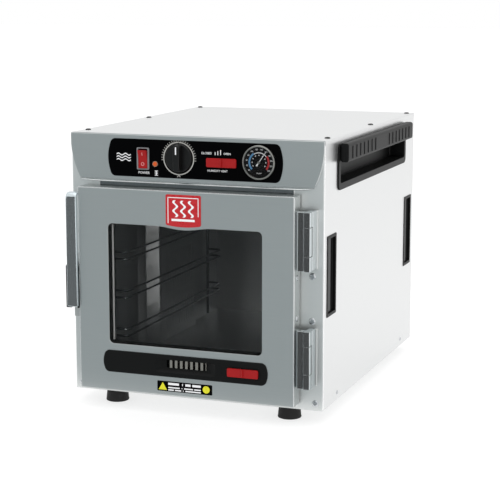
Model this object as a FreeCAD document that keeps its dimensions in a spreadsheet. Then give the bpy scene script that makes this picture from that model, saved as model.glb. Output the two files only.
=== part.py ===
import FreeCAD, Part
import math
import os
import re
from FreeCAD import Placement, Rotation, Vector

# Countertop food holding cabinet: an insulated stainless box on four rubber feet, with a glazed
# door on the right-hand hinges, a control console over it and a heated, fan-stirred cavity.
# Frame: millimetres, +Z up, front towards -Y. The origin is under the middle of the whole
# object, on the surface that the feet stand on.

doc = FreeCAD.newDocument("food_holding_cabinet")
sheet = doc.addObject("Spreadsheet::Sheet", "dims")

DRIVING = {
    # casing
    "body_wide": 504, "body_deep": 645, "body_tall": 500, "foot_tall": 25, "sheet_steel": 1.2,
    "latch_proud": 46, "inlet_proud": 10, "top_flange": 8.5,
    # cavity
    "cavity_wide": 390, "cavity_deep": 604.5, "cavity_floor": 40, "cavity_tall": 353, "liner_steel": 1,
    # door
    "door_left_gap": 28, "door_right_gap": 44.5, "door_low": 11.5, "door_tall": 390, "door_thick": 36,
    "window_wide": 307, "window_low": 104.25, "window_tall": 230.25, "window_round": 9,
    "glass_thick": 4, "glass_lap": 8, "gasket_wide": 8,
    # moulded trim and badge on the door
    "trim_wide": 319.5, "trim_low": 48.5, "trim_tall": 42.5, "trim_thick": 2.5, "recess_wide": 122,
    "recess_tall": 24, "recess_deep": 14, "badge_wide": 70, "badge_low": 338, "badge_tall": 57,
    # console
    "console_low": 413.8, "console_proud": 3, "lip_tall": 5, "panel_wide": 332, "panel_low": 420.5,
    "panel_tall": 71, "panel_thick": 1.2, "knob_across": 54, "knob_proud": 16, "gauge_across": 63.5,
    "gauge_proud": 6, "vent_travel": 10, "door_vent_travel": 12,
    # hinges and latch
    "hinge_tall": 107.5, "knuckle_tall": 53, "knuckle_wide": 12, "knuckle_deep": 14, "pin_across": 6,
    "latch_wide": 27.8, "lever_wide": 19, "latch_pin_across": 5,
    # sides
    "handle_deep": 33, "bar_proud": 20, "slot_wide": 56, "slot_tall": 151.5, "slot_deep": 12,
    # inside
    "rack_pitch": 75.7, "rack_pair": 13.8, "upright_across": 6, "wire_across": 4, "wheel_across": 120,
}
for row, (alias, amount) in enumerate(DRIVING.items(), start=1):
    sheet.set(f"A{row}", alias.replace("_", " "))
    sheet.set(f"B{row}", str(amount))
    sheet.setAlias(f"B{row}", alias)
doc.recompute()


def dim(alias):
    """A driving dimension as a number, read back from the sheet."""
    return float(sheet.get(alias))


# Planes that most pieces are placed from, as formulas over the sheet and as numbers.
FRONT = "((latch_proud - body_deep - inlet_proud) / 2)"
DOOR_LEFT = "(door_left_gap - body_wide / 2)"
DOOR_RIGHT = "(body_wide / 2 - door_right_gap)"
DOOR_MID = "((door_left_gap - door_right_gap) / 2)"
front = (dim("latch_proud") - dim("body_deep") - dim("inlet_proud")) / 2
door_mid = (dim("door_left_gap") - dim("door_right_gap")) / 2
half_body = dim("body_wide") / 2
half_cavity = dim("cavity_wide") / 2
foot = dim("foot_tall")
SLIP = 0.05        # radial clearance of a pin that turns in its bore


def formula(text):
    """The text as an expression: each alias gets the sheet's name in front of it."""
    def named(match):
        word = match.group()
        return "dims." + word if word in DRIVING else word
    return re.sub(r"[a-z][a-z_0-9]*", named, str(text))


def put(piece, x, y, z):
    """Binds the piece's place to three formulas."""
    for axis, text in zip("xyz", (x, y, z)):
        piece.setExpression(f"Placement.Base.{axis}", formula(text))
    return piece


def box(name, low, size):
    """Block with its lowest corner at low; both are triples of formulas."""
    piece = doc.addObject("Part::Box", name)
    for side, text in zip(("Length", "Width", "Height"), size):
        piece.setExpression(side, formula(text))
    return put(piece, *low)


TURN = {"x": Rotation(Vector(0, 1, 0), 90), "y": Rotation(Vector(1, 0, 0), -90), "z": Rotation()}


def rod(name, start, radius, length, along="z"):
    """Cylinder from start, going along one axis."""
    piece = doc.addObject("Part::Cylinder", name)
    piece.setExpression("Radius", formula(radius))
    piece.setExpression("Height", formula(length))
    piece.Placement = Placement(Vector(), TURN[along])
    return put(piece, *start)


def cone(name, start, low_radius, high_radius, length, along="z"):
    """Truncated cone from start, going along one axis."""
    piece = doc.addObject("Part::Cone", name)
    piece.setExpression("Radius1", formula(low_radius))
    piece.setExpression("Radius2", formula(high_radius))
    piece.setExpression("Height", formula(length))
    piece.Placement = Placement(Vector(), TURN[along])
    return put(piece, *start)


def fused(name, *pieces):
    """One solid made of several that touch."""
    piece = doc.addObject("Part::MultiFuse", name)
    piece.Shapes = list(pieces)
    piece.Refine = True
    return piece


def cut(name, base, *tools):
    """The base with one or more tools taken out."""
    tool = tools[0] if len(tools) == 1 else fused(name + "_tools", *tools)
    piece = doc.addObject("Part::Cut", name)
    piece.Base = base
    piece.Tool = tool
    piece.Refine = True
    return piece


def group(name, *pieces):
    """Separate solids kept in one node."""
    piece = doc.addObject("Part::Compound", name)
    piece.Links = list(pieces)
    return piece


def mirrored(name, source):
    """The same piece for the other side of the cabinet."""
    piece = doc.addObject("Part::Mirroring", name)
    piece.Source = source
    piece.Normal = (1, 0, 0)
    piece.Base = (0, 0, 0)
    return piece


def padded(name, role, level, edges, thickness):
    """PartDesign body: an outline on an origin plane, moved out to level and padded.

    On XZ_Plane the outline is (x, z) and both level and thickness go towards -Y; on YZ_Plane it
    is (y, z) and they go towards +X; on XY_Plane it is (x, y) and they go up.
    """
    body = doc.addObject("PartDesign::Body", name)
    sketch = body.newObject("Sketcher::SketchObject", name + "_outline")
    plane = next(item for item in body.Origin.OriginFeatures if item.Role == role)
    sketch.AttachmentSupport = [(plane, "")]
    sketch.MapMode = "FlatFace"
    sketch.setExpression("AttachmentOffset.Base.z", formula(level))
    sketch.addGeometry(edges, False)
    pad = body.newObject("PartDesign::Pad", name + "_pad")
    pad.Profile = sketch
    pad.setExpression("Length", formula(thickness))
    return body


def loop(*corners):
    """Straight edges through the corners and back to the first."""
    points = [Vector(u, v, 0) for u, v in corners]
    return [Part.LineSegment(a, b) for a, b in zip(points, points[1:] + points[:1])]


def rounded(middle_u, middle_v, wide, tall, radius):
    """Edges of a rectangle with round corners."""
    edges = []
    corners = ((1, 1, 0), (-1, 1, 90), (-1, -1, 180), (1, -1, 270))
    centres = [Vector(middle_u + su * (wide / 2 - radius), middle_v + sv * (tall / 2 - radius), 0)
               for su, sv, _ in corners]
    for index, (_, _, start) in enumerate(corners):
        centre = centres[index]
        ring = Part.Circle(centre, Vector(0, 0, 1), radius)
        edges.append(Part.ArcOfCircle(ring, math.radians(start), math.radians(start + 90)))
        turn = math.radians(start + 90)
        offset = Vector(math.cos(turn), math.sin(turn), 0) * radius
        edges.append(Part.LineSegment(centre + offset, centres[(index + 1) % 4] + offset))
    return edges


def bowed(middle_u, middle_v, wide, tall, bow):
    """Edges of a rectangle whose left and right ends bow outwards."""
    u, v = wide / 2, tall / 2
    left, right = middle_u - u, middle_u + u
    low, high = middle_v - v, middle_v + v
    return [Part.LineSegment(Vector(left, low, 0), Vector(right, low, 0)),
            Part.Arc(Vector(right, low, 0), Vector(right + bow, middle_v, 0), Vector(right, high, 0)),
            Part.LineSegment(Vector(right, high, 0), Vector(left, high, 0)),
            Part.Arc(Vector(left, high, 0), Vector(left - bow, middle_v, 0), Vector(left, low, 0))]


# ---- Casing: bent stainless sheets screwed round the insulated cavity ------------------------

# Face frame: one sheet, open at the cavity, pierced for the controls; its top rail lies back.
FACE_HOLES = [
    box("rocker_cutout", ("-101.7 - 11", f"{FRONT} - 8", "foot_tall + 436"), (22, 12, 38.5)),
    rod("lamp_cutout", (-77.4, f"{FRONT} - 8", "foot_tall + 446"), 4.6, 12, "y"),
    rod("knob_cutout", (-29.4, f"{FRONT} - 8", "foot_tall + 459"), 5, 12, "y"),
    box("vent_cutout", ("55 - 4 - vent_travel", f"{FRONT} - 8", "foot_tall + 449"),
        ("8 + 2 * vent_travel", 12, 8)),
    rod("gauge_cutout", (128.5, f"{FRONT} - 8", "foot_tall + 457"), 26, 12, "y"),
]
face_holes = fused("face_holes", *FACE_HOLES)
FACE_SCREWS = [(230.5, 252), (230.5, 168.5), (237.5, 13.5), (-237.5, 13.5)]
face_screw_holes = [
    rod(f"face_screw_hole_{number}", (x, f"{FRONT} - 2", f"foot_tall + {z}"), 2.25, 6, "y")
    for number, (x, z) in enumerate(FACE_SCREWS)]
front_frame = cut(
    "front_frame",
    box("face_sheet", ("-body_wide / 2", FRONT, "foot_tall"),
        ("body_wide", "sheet_steel", "body_tall - sheet_steel")),
    box("face_opening", ("-cavity_wide / 2", f"{FRONT} - 1", "foot_tall + cavity_floor"),
        ("cavity_wide", 4, "cavity_tall")),
    box("rail_setback",
        ("-cavity_wide / 2", f"{FRONT} - 1", "foot_tall + cavity_floor + cavity_tall - 1"),
        ("cavity_wide", 1.5, 22)),
    face_holes, *face_screw_holes)

# Side panels: flat sheets, each pierced for its carrying handle and two slot channels.
SIDE_X = "(body_wide / 2 - sheet_steel)"
side_panel_right = cut(
    "side_panel_right",
    box("side_sheet", (SIDE_X, f"{FRONT} + sheet_steel", "foot_tall"),
        ("sheet_steel", "body_deep - 2 * sheet_steel", "body_tall - sheet_steel")),
    box("handle_cutout", (f"{SIDE_X} - 1", f"{FRONT} + 84", "foot_tall + 406"), (4, 480, 76)),
    box("front_slot_cutout", (f"{SIDE_X} - 1", f"{FRONT} + 22", "foot_tall + 176.5"),
        (4, "slot_wide - 8", "slot_tall - 8")),
    box("rear_slot_cutout", (f"{SIDE_X} - 1", f"{FRONT} + 577", "foot_tall + 176.5"),
        (4, "slot_wide - 8", "slot_tall - 8")),
    *[rod(f"side_screw_hole_{place}", (f"{SIDE_X} - 1", f"{FRONT} + {place}", "foot_tall + 14"),
          2.1, 4, "x") for place in (90, 560)])
side_panel_left = mirrored("side_panel_left", side_panel_right)

# Top panel: a sheet with a short flange down each side, outside the side panels.
top_panel = cut(
    "top_panel",
    box("top_sheet", ("-body_wide / 2 - sheet_steel", FRONT, "foot_tall + body_tall - top_flange"),
        ("body_wide + 2 * sheet_steel", "body_deep", "top_flange")),
    box("top_inside", ("-body_wide / 2", f"{FRONT} - 1", "foot_tall + body_tall - top_flange - 1"),
        ("body_wide", "body_deep + 2", "top_flange + 1 - sheet_steel")),
    *[rod(f"top_screw_hole_{side}_{place}", (side * 241, f"{FRONT} + {place}", "foot_tall + body_tall - 3"),
          2.6, 6) for side in (-1, 1) for place in (50, 337.5, 625)])

# Back panel, with the cut-out of the power inlet.
back_panel = cut(
    "back_panel",
    box("back_sheet", ("-body_wide / 2", f"{FRONT} + body_deep - sheet_steel", "foot_tall"),
        ("body_wide", "sheet_steel", "body_tall - sheet_steel")),
    box("inlet_cutout", (150, f"{FRONT} + body_deep - 4", "foot_tall + 452"), (28, 8, 21)))

# Base pan: a tray with a turned-up rim, which the feet bolt to.
base_pan = cut(
    "base_pan",
    box("base_tray", ("-body_wide / 2 + sheet_steel", f"{FRONT} + sheet_steel", "foot_tall"),
        ("body_wide - 2 * sheet_steel", "body_deep - 2 * sheet_steel", 9)),
    box("base_inside",
        ("-body_wide / 2 + 2 * sheet_steel", f"{FRONT} + 2 * sheet_steel", "foot_tall + sheet_steel"),
        ("body_wide - 4 * sheet_steel", "body_deep - 4 * sheet_steel", 20)),
    *[rod(f"foot_hole_{side}_{place}", (side * 177.5, f"{FRONT} + {place}", "foot_tall - 1"), 4.1, 6)
      for side in (-1, 1) for place in (30, 615)])

# Four tapered rubber feet, each hollowed below for the head of its bolt.
FOOT_PLACES = [(side * 177.5, place) for side in (-1, 1) for place in (30, 615)]
feet = group("feet", *[
    cut(f"foot_{number}",
        cone(f"foot_cone_{number}", (x, f"{FRONT} + {y}", 0), 22.5, 20, "foot_tall"),
        rod(f"foot_bore_{number}", (x, f"{FRONT} + {y}", -1), 4.1, "foot_tall + 2"),
        rod(f"foot_pocket_{number}", (x, f"{FRONT} + {y}", -1), 9, 11))
    for number, (x, y) in enumerate(FOOT_PLACES, start=1)])
foot_bolts = group("foot_bolts", *[
    fused(f"foot_bolt_{number}",
          rod(f"bolt_shank_{number}", (x, f"{FRONT} + {y}", 10), 4, "foot_tall - 4"),
          rod(f"bolt_head_{number}", (x, f"{FRONT} + {y}", 5), 7.5, 5))
    for number, (x, y) in enumerate(FOOT_PLACES, start=1)])

# ---- Cavity: the liner, its air ducts and the slides for the pans ----------------------------

LINER_START = f"({FRONT} + sheet_steel)"
liner_wrap = cut(
    "liner_wrap",
    box("wrap_outside",
        ("-cavity_wide / 2 - liner_steel", LINER_START, "foot_tall + cavity_floor - liner_steel"),
        ("cavity_wide + 2 * liner_steel", "cavity_deep + liner_steel", "cavity_tall + liner_steel")),
    box("wrap_inside", ("-cavity_wide / 2", f"{LINER_START} - 1", "foot_tall + cavity_floor"),
        ("cavity_wide", "cavity_deep + liner_steel + 2", "cavity_tall + 1")))
liner_back = box(
    "liner_back", ("-cavity_wide / 2", f"{LINER_START} + cavity_deep", "foot_tall + cavity_floor"),
    ("cavity_wide", "liner_steel", "cavity_tall"))
ROOF = "(foot_tall + cavity_floor + cavity_tall)"
liner_roof = cut(
    "liner_roof",
    box("roof_sheet", ("-cavity_wide / 2 - liner_steel", LINER_START, ROOF),
        ("cavity_wide + 2 * liner_steel", "cavity_deep + liner_steel", "liner_steel")),
    rod("shaft_hole", (0, f"{FRONT} + 325", f"{ROOF} - 1"), 7, 4),
    *[rod(f"element_hole_{x}", (x, f"{FRONT} + 325 + 87.2", f"{ROOF} - 1"), 5, 4) for x in (-12, 12)])

# Glass-wool batts between the liner and the casing.
roof_batt = cut(
    "roof_batt",
    box("roof_wool", (-190, f"{FRONT} + 60", f"{ROOF} + 2"), (380, 530, 20)),
    rod("motor_well", (0, f"{FRONT} + 325", ROOF), 46, 40),
    box("element_well", (-24, f"{FRONT} + 400", ROOF), (48, 30, 40)))
insulation = group(
    "insulation",
    box("right_batt", (197, f"{FRONT} + 12", "foot_tall + 12"), (40, 606, "cavity_tall + 12")),
    box("left_batt", (-237, f"{FRONT} + 12", "foot_tall + 12"), (40, 606, "cavity_tall + 12")),
    box("back_batt", (-190, f"{FRONT} + 609", "foot_tall + 12"), (380, 30, 410)),
    box("floor_batt", (-150, f"{FRONT} + 12", "foot_tall + 2"), (300, 590, 36)),
    roof_batt)

# Side ducts: a cover with a sloping front and two rows of upright air slots, on each wall.
duct_face = half_cavity - 18
duct_front = front + 170
duct_path = [(half_cavity - 0.2, duct_front), (duct_face, duct_front + 78),
             (duct_face, duct_front + 264), (half_cavity - 0.2, duct_front + 272)]
duct_inner = [(half_cavity - 0.2, duct_front + 3), (duct_face + 1, duct_front + 79),
              (duct_face + 1, duct_front + 263), (half_cavity - 0.2, duct_front + 269)]
duct_cover = padded("duct_cover", "XY_Plane", "foot_tall + cavity_floor + 1",
                    loop(*duct_path, *reversed(duct_inner)), "cavity_tall - 42")
duct_panel_right = cut(
    "duct_panel_right", duct_cover,
    *[box(f"air_slot_{row}_{number}",
          (duct_face - 1, duct_front + 104 + 13 * number, f"foot_tall + {level}"), (4, 4, length))
      for row, (level, length) in enumerate(((62, 60), (140, 84))) for number in range(12)])
duct_panel_left = mirrored("duct_panel_left", duct_panel_right)

# Fan baffle: a shallow pan hung under the roof, with the round intake of the blower.
baffle_low = 393 - 38
fan_baffle = cut(
    "fan_baffle",
    box("baffle_outside", (-174, f"{FRONT} + 170", f"foot_tall + {baffle_low}"), (348, 272, 37.8)),
    box("baffle_inside", (-180, f"{FRONT} + 171", f"foot_tall + {baffle_low} + 1"), (360, 270, 40)),
    rod("intake", (0, f"{FRONT} + 325", f"foot_tall + {baffle_low} - 1"), 48, 4))


def wire(points, radius, bend):
    """Round wire along straight runs, each corner an arc of radius bend."""
    edges = []
    start = points[0]
    for before, corner, after in zip(points, points[1:], points[2:]):
        into, out = (corner - before).normalize(), (after - corner).normalize()
        first, last = corner - into * bend, corner + out * bend
        middle = corner + (out - into) * bend * (1 - math.sqrt(0.5))
        edges += [Part.LineSegment(start, first).toShape(), Part.Arc(first, middle, last).toShape()]
        start = last
    edges.append(Part.LineSegment(start, points[-1]).toShape())
    path = Part.Wire(edges)
    along = (points[1] - points[0]).normalize()
    ring = Part.Wire(Part.makeCircle(radius, points[0], along))
    return path.makePipeShell([ring], True, True)


def pan_rack():
    """Two uprights and four levels of paired wires; a pan's rim slides between the two of a pair."""
    upright_x, wire_x = half_cavity - 8, half_cavity - 39
    near, far = front + 34, front + 531
    low, high = foot + 45, foot + 351
    reach = dim("upright_across") / 2
    shapes = [Part.makeCylinder(reach, high - low, Vector(upright_x, y, low)) for y in (near, far)]
    for level in range(4):
        for pair in range(2):
            z = foot + 102.3 + level * dim("rack_pitch") + pair * dim("rack_pair")
            route = [Vector(upright_x, near, z), Vector(wire_x, near, z),
                     Vector(wire_x, far, z), Vector(upright_x, far, z)]
            shapes.append(wire(route, dim("wire_across") / 2, 8))
    return shapes[0].multiFuse(shapes[1:])


def made(name, shape):
    """A piece whose shape is computed above, from the sheet's numbers."""
    piece = doc.addObject("Part::Feature", name)
    piece.Shape = shape
    return piece


rack_right = made("rack_right", pan_rack())
rack_left = mirrored("rack_left", rack_right)

# Blower: a squirrel-cage wheel under the roof on the shaft of a motor above it.
fan_y = front + 325
wheel_low = foot + baffle_low + 5
wheel_radius = dim("wheel_across") / 2


def blower():
    """Back plate, front ring, twelve straight blades, hub and shaft."""
    plate = Part.makeCylinder(wheel_radius, 1.5, Vector(0, fan_y, wheel_low + 26))
    ring = Part.makeCylinder(wheel_radius, 1.5, Vector(0, fan_y, wheel_low))
    ring = ring.cut(Part.makeCylinder(wheel_radius - 14, 4, Vector(0, fan_y, wheel_low - 1)))
    hub = Part.makeCylinder(12, 16, Vector(0, fan_y, wheel_low + 10))
    shaft = Part.makeCylinder(4, 54, Vector(0, fan_y, wheel_low + 20))
    shapes = [ring, hub, shaft]
    for number in range(12):
        blade = Part.makeBox(12, 1.2, 26, Vector(wheel_radius - 13, -0.6, wheel_low + 0.5))
        blade.rotate(Vector(0, 0, 0), Vector(0, 0, 1), 30 * number)
        blade.translate(Vector(0, fan_y, 0))
        shapes.append(blade)
    return plate.multiFuse(shapes).removeSplitter()


blower_wheel = made("blower_wheel", blower())
fan_motor = cut(
    "fan_motor",
    fused("motor_body",
          rod("motor_can", (0, f"{FRONT} + 325", f"{ROOF} + 8"), 40, 48),
          rod("motor_flange", (0, f"{FRONT} + 325", f"{ROOF} + 1"), 44, 7)),
    rod("motor_bore", (0, f"{FRONT} + 325", ROOF), f"4 + {SLIP}", 44))

# Tubular heating element: a ring round the wheel with two ends up through the roof.
heating_element = made("heating_element", Part.makeTorus(
    88, 4, Vector(0, fan_y, wheel_low + 14), Vector(0, 0, 1)).multiFuse(
    [Part.makeCylinder(4, 50, Vector(x, fan_y + 87.2, wheel_low + 14)) for x in (-12, 12)]))

# ---- Console -----------------------------------------------------------------------------------

console_low = foot + dim("console_low")
console_top = foot + dim("body_tall")
lip_end = half_body - 18.5


def console_outline():
    """Full width at the top; below, both sides sweep in to the ends of the lip."""
    side = [Vector(half_body, console_top - 22, 0), Vector(half_body - 8, console_low + 33, 0),
            Vector(lip_end, console_low, 0)]
    other = [Vector(-point.x, point.y, 0) for point in side]
    corners = [Vector(half_body, console_top, 0), Vector(-half_body, console_top, 0)]
    return [Part.LineSegment(corners[0], corners[1]), Part.LineSegment(corners[1], other[0]),
            Part.Arc(*other), Part.LineSegment(other[2], side[2]), Part.Arc(side[2], side[1], side[0]),
            Part.LineSegment(side[0], corners[0])]


# Fascia: pressed stainless, with a rolled lip along its lower edge.
console_fascia = cut(
    "console_fascia",
    fused("fascia_blank",
          padded("fascia_sheet", "XZ_Plane", f"-{FRONT}", console_outline(), "console_proud"),
          box("fascia_lip", ("-body_wide / 2 + 18.5", f"{FRONT} - 6", "foot_tall + console_low - lip_tall"),
              ("body_wide - 37", 6, "lip_tall"))),
    face_holes)

panel_z = foot + dim("panel_low") + dim("panel_tall") / 2
control_panel = cut(
    "control_panel",
    padded("panel_sheet", "XZ_Plane", f"-{FRONT} + console_proud",
           bowed(0, panel_z, dim("panel_wide"), dim("panel_tall"), 8), "panel_thick"),
    face_holes)
PANEL_FACE = f"({FRONT} - console_proud - panel_thick)"
panel_face = front - dim("console_proud") - dim("panel_thick")

# Rocker switch: a housing snapped into the panel and the rocker on its cross pin.
rocker_x, rocker_z = -101.7, foot + 455.25
rocker_housing = cut(
    "rocker_housing",
    fused("rocker_shell",
          padded("rocker_bezel", "XZ_Plane", f"-{PANEL_FACE}",
                 rounded(rocker_x, rocker_z, 25, 41.5, 3), 2.6),
          box("rocker_can", (rocker_x - 10.8, PANEL_FACE, rocker_z - 19), (21.6, 30, 38))),
    box("rocker_well", (rocker_x - 9.35, f"{PANEL_FACE} - 4", rocker_z - 18.4), (18.7, 18, 36.8)),
    rod("rocker_bore", (rocker_x - 10.6, f"{PANEL_FACE} - 0.2", rocker_z), f"1.5 + {SLIP}", 21.2, "x"))


def rocker():
    """Wedge with a hollow front on a cross pin, tipped so that its lower half is pressed in."""
    y = panel_face - 3.2
    corners = [(-2.6, 17.4), (0, 0), (-2.6, -17.4), (7, -13), (7, 13)]
    points = [Vector(rocker_x - 9, y + u, rocker_z + v) for u, v in corners]
    face = Part.Face(Part.makePolygon(points + points[:1]))
    solid = face.extrude(Vector(18, 0, 0))
    solid.rotate(Vector(rocker_x, y + 3, rocker_z), Vector(1, 0, 0), 8)
    pin = Part.makeCylinder(1.5, 20.8, Vector(rocker_x - 10.4, y + 3, rocker_z), Vector(1, 0, 0))
    return solid.fuse(pin).removeSplitter()


power_rocker = made("power_rocker", rocker())

# Pilot lamp: a lens in front, its body behind the panel.
lamp_x, lamp_z = -77.4, foot + 446
pilot_lamp = fused(
    "pilot_lamp",
    cone("lamp_lens", (lamp_x, f"{PANEL_FACE} - 2.4", lamp_z), 4.2, 6, 2.4, "y"),
    rod("lamp_stem", (lamp_x, PANEL_FACE, lamp_z), 4.5, 26, "y"))

# Thermostat: the knob turns the spindle in a capillary thermostat fixed behind the face frame.
knob_x, knob_z = -29.4, foot + 459
thermostat_knob = fused(
    "thermostat_knob",
    cone("knob_skirt", (knob_x, f"{PANEL_FACE} - 4.5", knob_z), "knob_across / 2 - 1.5",
         "knob_across / 2", 4.1, "y"),
    box("knob_grip", (knob_x - 7.5, f"{PANEL_FACE} - knob_proud", f"{knob_z} - 26"),
        (15, "knob_proud - 4", 52)),
    rod("knob_spindle", (knob_x, f"{PANEL_FACE} - 4", knob_z), 3, 24, "y"))
thermostat_body = cut(
    "thermostat_body",
    box("thermostat_case", (knob_x - 20, f"{FRONT} + sheet_steel", knob_z - 22), (40, 34, 44)),
    rod("spindle_bore", (knob_x, f"{FRONT}", knob_z), f"3 + {SLIP}", 20, "y"))


def slider(name, middle, face, pad, shutter_y, shutter):
    """Sliding vent control: a pad with a finger ridge, a stem through the slot and its shutter."""
    x, z = middle
    wide, tall = pad
    shutter_wide, shutter_tall = shutter
    return fused(
        name,
        box(name + "_pad", (x - wide / 2, f"{face} - 3", z - tall / 2), (wide, 2.7, tall)),
        box(name + "_ridge", (x - 1.5, f"{face} - 6", z - tall / 2 + 1), (3, 3, tall - 2)),
        box(name + "_stem", (x - 3.5, f"{face} - 1", z - 3.5), (7, f"{shutter_y} - {face} + 1.2", 7)),
        box(name + "_shutter", (x - shutter_wide / 2, shutter_y, z - shutter_tall / 2),
            (shutter_wide, 1, shutter_tall)))


console_vent_slider = slider("console_vent_slider", (55, foot + 453), PANEL_FACE, (59, 17),
                             f"({FRONT} + sheet_steel + 0.4)", (56, 20))

# Dial thermometer: a cup with a rolled bezel, its needle and its glass.
gauge_x, gauge_z = 128.5, foot + 457
gauge_case = cut(
    "gauge_case",
    fused("gauge_shell",
          rod("gauge_bezel", (gauge_x, f"{PANEL_FACE} - gauge_proud", gauge_z), "gauge_across / 2",
              "gauge_proud", "y"),
          rod("gauge_can", (gauge_x, PANEL_FACE, gauge_z), 25.8, 26, "y")),
    rod("gauge_well", (gauge_x, f"{PANEL_FACE} - gauge_proud - 1", gauge_z), 28.6, "gauge_proud", "y"))
gauge_glass = rod("gauge_glass", (gauge_x, f"{PANEL_FACE} - gauge_proud + 0.6", gauge_z), 28.5, 1, "y")


def needle():
    """Tapered hand with a round boss and a short tail, leaning to the right of upright."""
    y = panel_face - 2.6
    corners = [(-0.8, 0), (-0.35, 23), (0.35, 23), (0.8, 0), (1.6, -8), (-1.6, -8)]
    points = [Vector(gauge_x + u, y, gauge_z + v) for u, v in corners]
    hand = Part.Face(Part.makePolygon(points + points[:1])).extrude(Vector(0, 0.6, 0))
    boss = Part.makeCylinder(2.6, 1.4, Vector(gauge_x, y - 0.5, gauge_z), Vector(0, 1, 0))
    solid = hand.fuse(boss).removeSplitter()
    solid.rotate(Vector(gauge_x, 0, gauge_z), Vector(0, 1, 0), 35)
    return solid


gauge_needle = made("gauge_needle", needle())

# ---- Carrying handles and slot channels in both sides ------------------------------------------

SIDE_FACE = "(body_wide / 2)"
side_face = half_body
handle_y = front + 78.5
handle_pocket_right = cut(
    "handle_pocket_right",
    fused("pocket_blank",
          padded("pocket_frame", "YZ_Plane", SIDE_FACE,
                 rounded(handle_y + 245.75, foot + 443.25, 491.5, 86.5, 12), 3),
          box("pocket_tub", (f"{SIDE_FACE} - handle_deep", handle_y + 7.5, foot + 408),
              ("handle_deep", 476.5, 72))),
    box("pocket_inside", (f"{SIDE_FACE} - handle_deep + 3", handle_y + 12, foot + 413),
        ("handle_deep + 4", 467.5, 64)))
handle_pocket_left = mirrored("handle_pocket_left", handle_pocket_right)


def grab_bar():
    """Hooked section along the side: a face to hold, a top web and a foot on the pocket frame."""
    x = side_face + 3
    crown = side_face + dim("bar_proud")
    top = foot + 487.5
    section = [(x, top - 10), (x, top), (crown - 5, top), (crown, top - 5), (crown, top - 29),
               (crown - 4, top - 35), (crown - 8, top - 35), (crown - 8, top - 10)]
    start, length = handle_y + 8, 478
    points = [Vector(u, start, v) for u, v in section]
    bar = Part.Face(Part.makePolygon(points + points[:1])).extrude(Vector(0, length, 0))
    ends = [Part.makeBox(10, 12, 33, Vector(x, y, top - 35 + 1)) for y in (start, start + length - 12)]
    return bar.multiFuse(ends).removeSplitter()


handle_bar_right = made("handle_bar_right", grab_bar())
handle_bar_left = mirrored("handle_bar_left", handle_bar_right)


def slot_trim(name, place):
    """Moulded channel with a thin rim on the side panel."""
    return cut(
        name,
        fused(name + "_blank",
              box(name + "_rim", (SIDE_FACE, f"{FRONT} + {place}", "foot_tall + 172.5"),
                  (1.2, "slot_wide", "slot_tall")),
              box(name + "_tub",
                  (f"{SIDE_FACE} - slot_deep", f"{FRONT} + {place} + 4.3", "foot_tall + 176.8"),
                  ("slot_deep", "slot_wide - 8.6", "slot_tall - 8.6"))),
        box(name + "_inside",
            (f"{SIDE_FACE} - slot_deep + 1.5", f"{FRONT} + {place} + 6", "foot_tall + 178.5"),
            ("slot_deep + 4", "slot_wide - 12", "slot_tall - 12")))


right_slots = [slot_trim(f"slot_right_{place}", place) for place in (18, 573)]
slot_trims = group("slot_trims", *right_slots,
                   *[mirrored(slot.Name.replace("right", "left"), slot) for slot in right_slots])

# ---- Door ----------------------------------------------------------------------------------------

DOOR_FACE = f"({FRONT} - door_thick)"
door_face = front - dim("door_thick")
window_low = foot + dim("window_low")
window_high = window_low + dim("window_tall")
window_mid = (window_low + window_high) / 2


def window_outline(grow=0):
    """Rounded rectangle; the top edge dips in the middle, below the badge, when it isn't grown."""
    wide, tall = dim("window_wide") + 2 * grow, dim("window_tall") + 2 * grow
    edges = rounded(door_mid, window_mid, wide, tall, dim("window_round"))
    if grow:
        return edges
    top = [edge for edge in edges if isinstance(edge, Part.LineSegment)
           and min(edge.StartPoint.y, edge.EndPoint.y) > window_high - 0.1][0]
    dip = [Vector(door_mid + 55, window_high, 0), Vector(door_mid, window_high - 5.5, 0),
           Vector(door_mid - 55, window_high, 0)]
    edges.remove(top)
    return edges + [Part.LineSegment(top.StartPoint, dip[0]), Part.Arc(*dip),
                    Part.LineSegment(dip[2], top.EndPoint)]


window_hole = padded("window_hole", "XZ_Plane", f"-{FRONT}", window_outline(), "door_thick + 2")
trim_z = foot + dim("trim_low") + dim("trim_tall") / 2
TRIM_LOW = "(foot_tall + trim_low)"
recess_x = 1.0 + door_mid
vent_x, vent_z = 109, foot + 69
door_piercings = fused(
    "door_piercings",
    box("recess_piercing", (f"{recess_x} - recess_wide / 2 - 2", f"{DOOR_FACE} - 6", trim_z - 14),
        ("recess_wide + 4", 14, 28)),
    box("door_vent_piercing", (f"{vent_x} - 4 - door_vent_travel", f"{DOOR_FACE} - 6", vent_z - 4),
        ("8 + door_vent_travel", 14, 8)))

DOOR_SCREW_BACK, DOOR_SCREW_HEIGHTS = 20, (247, 172)
door_screw_holes = [
    rod(f"door_screw_hole_{z}", (f"{DOOR_RIGHT} - 4", f"{FRONT} - {DOOR_SCREW_BACK}", f"foot_tall + {z}"),
        2.05, 6, "x") for z in DOOR_SCREW_HEIGHTS]

# Outer skin: a pressed pan, open at the back, with the window and the openings behind the trim.
door_skin = cut(
    "door_skin",
    box("skin_outside", (DOOR_LEFT, DOOR_FACE, "foot_tall + door_low"),
        (f"{DOOR_RIGHT} - {DOOR_LEFT}", "door_thick - 6", "door_tall")),
    box("skin_inside",
        (f"{DOOR_LEFT} + sheet_steel", f"{DOOR_FACE} + sheet_steel", "foot_tall + door_low + sheet_steel"),
        (f"{DOOR_RIGHT} - {DOOR_LEFT} - 2 * sheet_steel", "door_thick", "door_tall - 2 * sheet_steel")),
    window_hole, door_piercings, *door_screw_holes)

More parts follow.
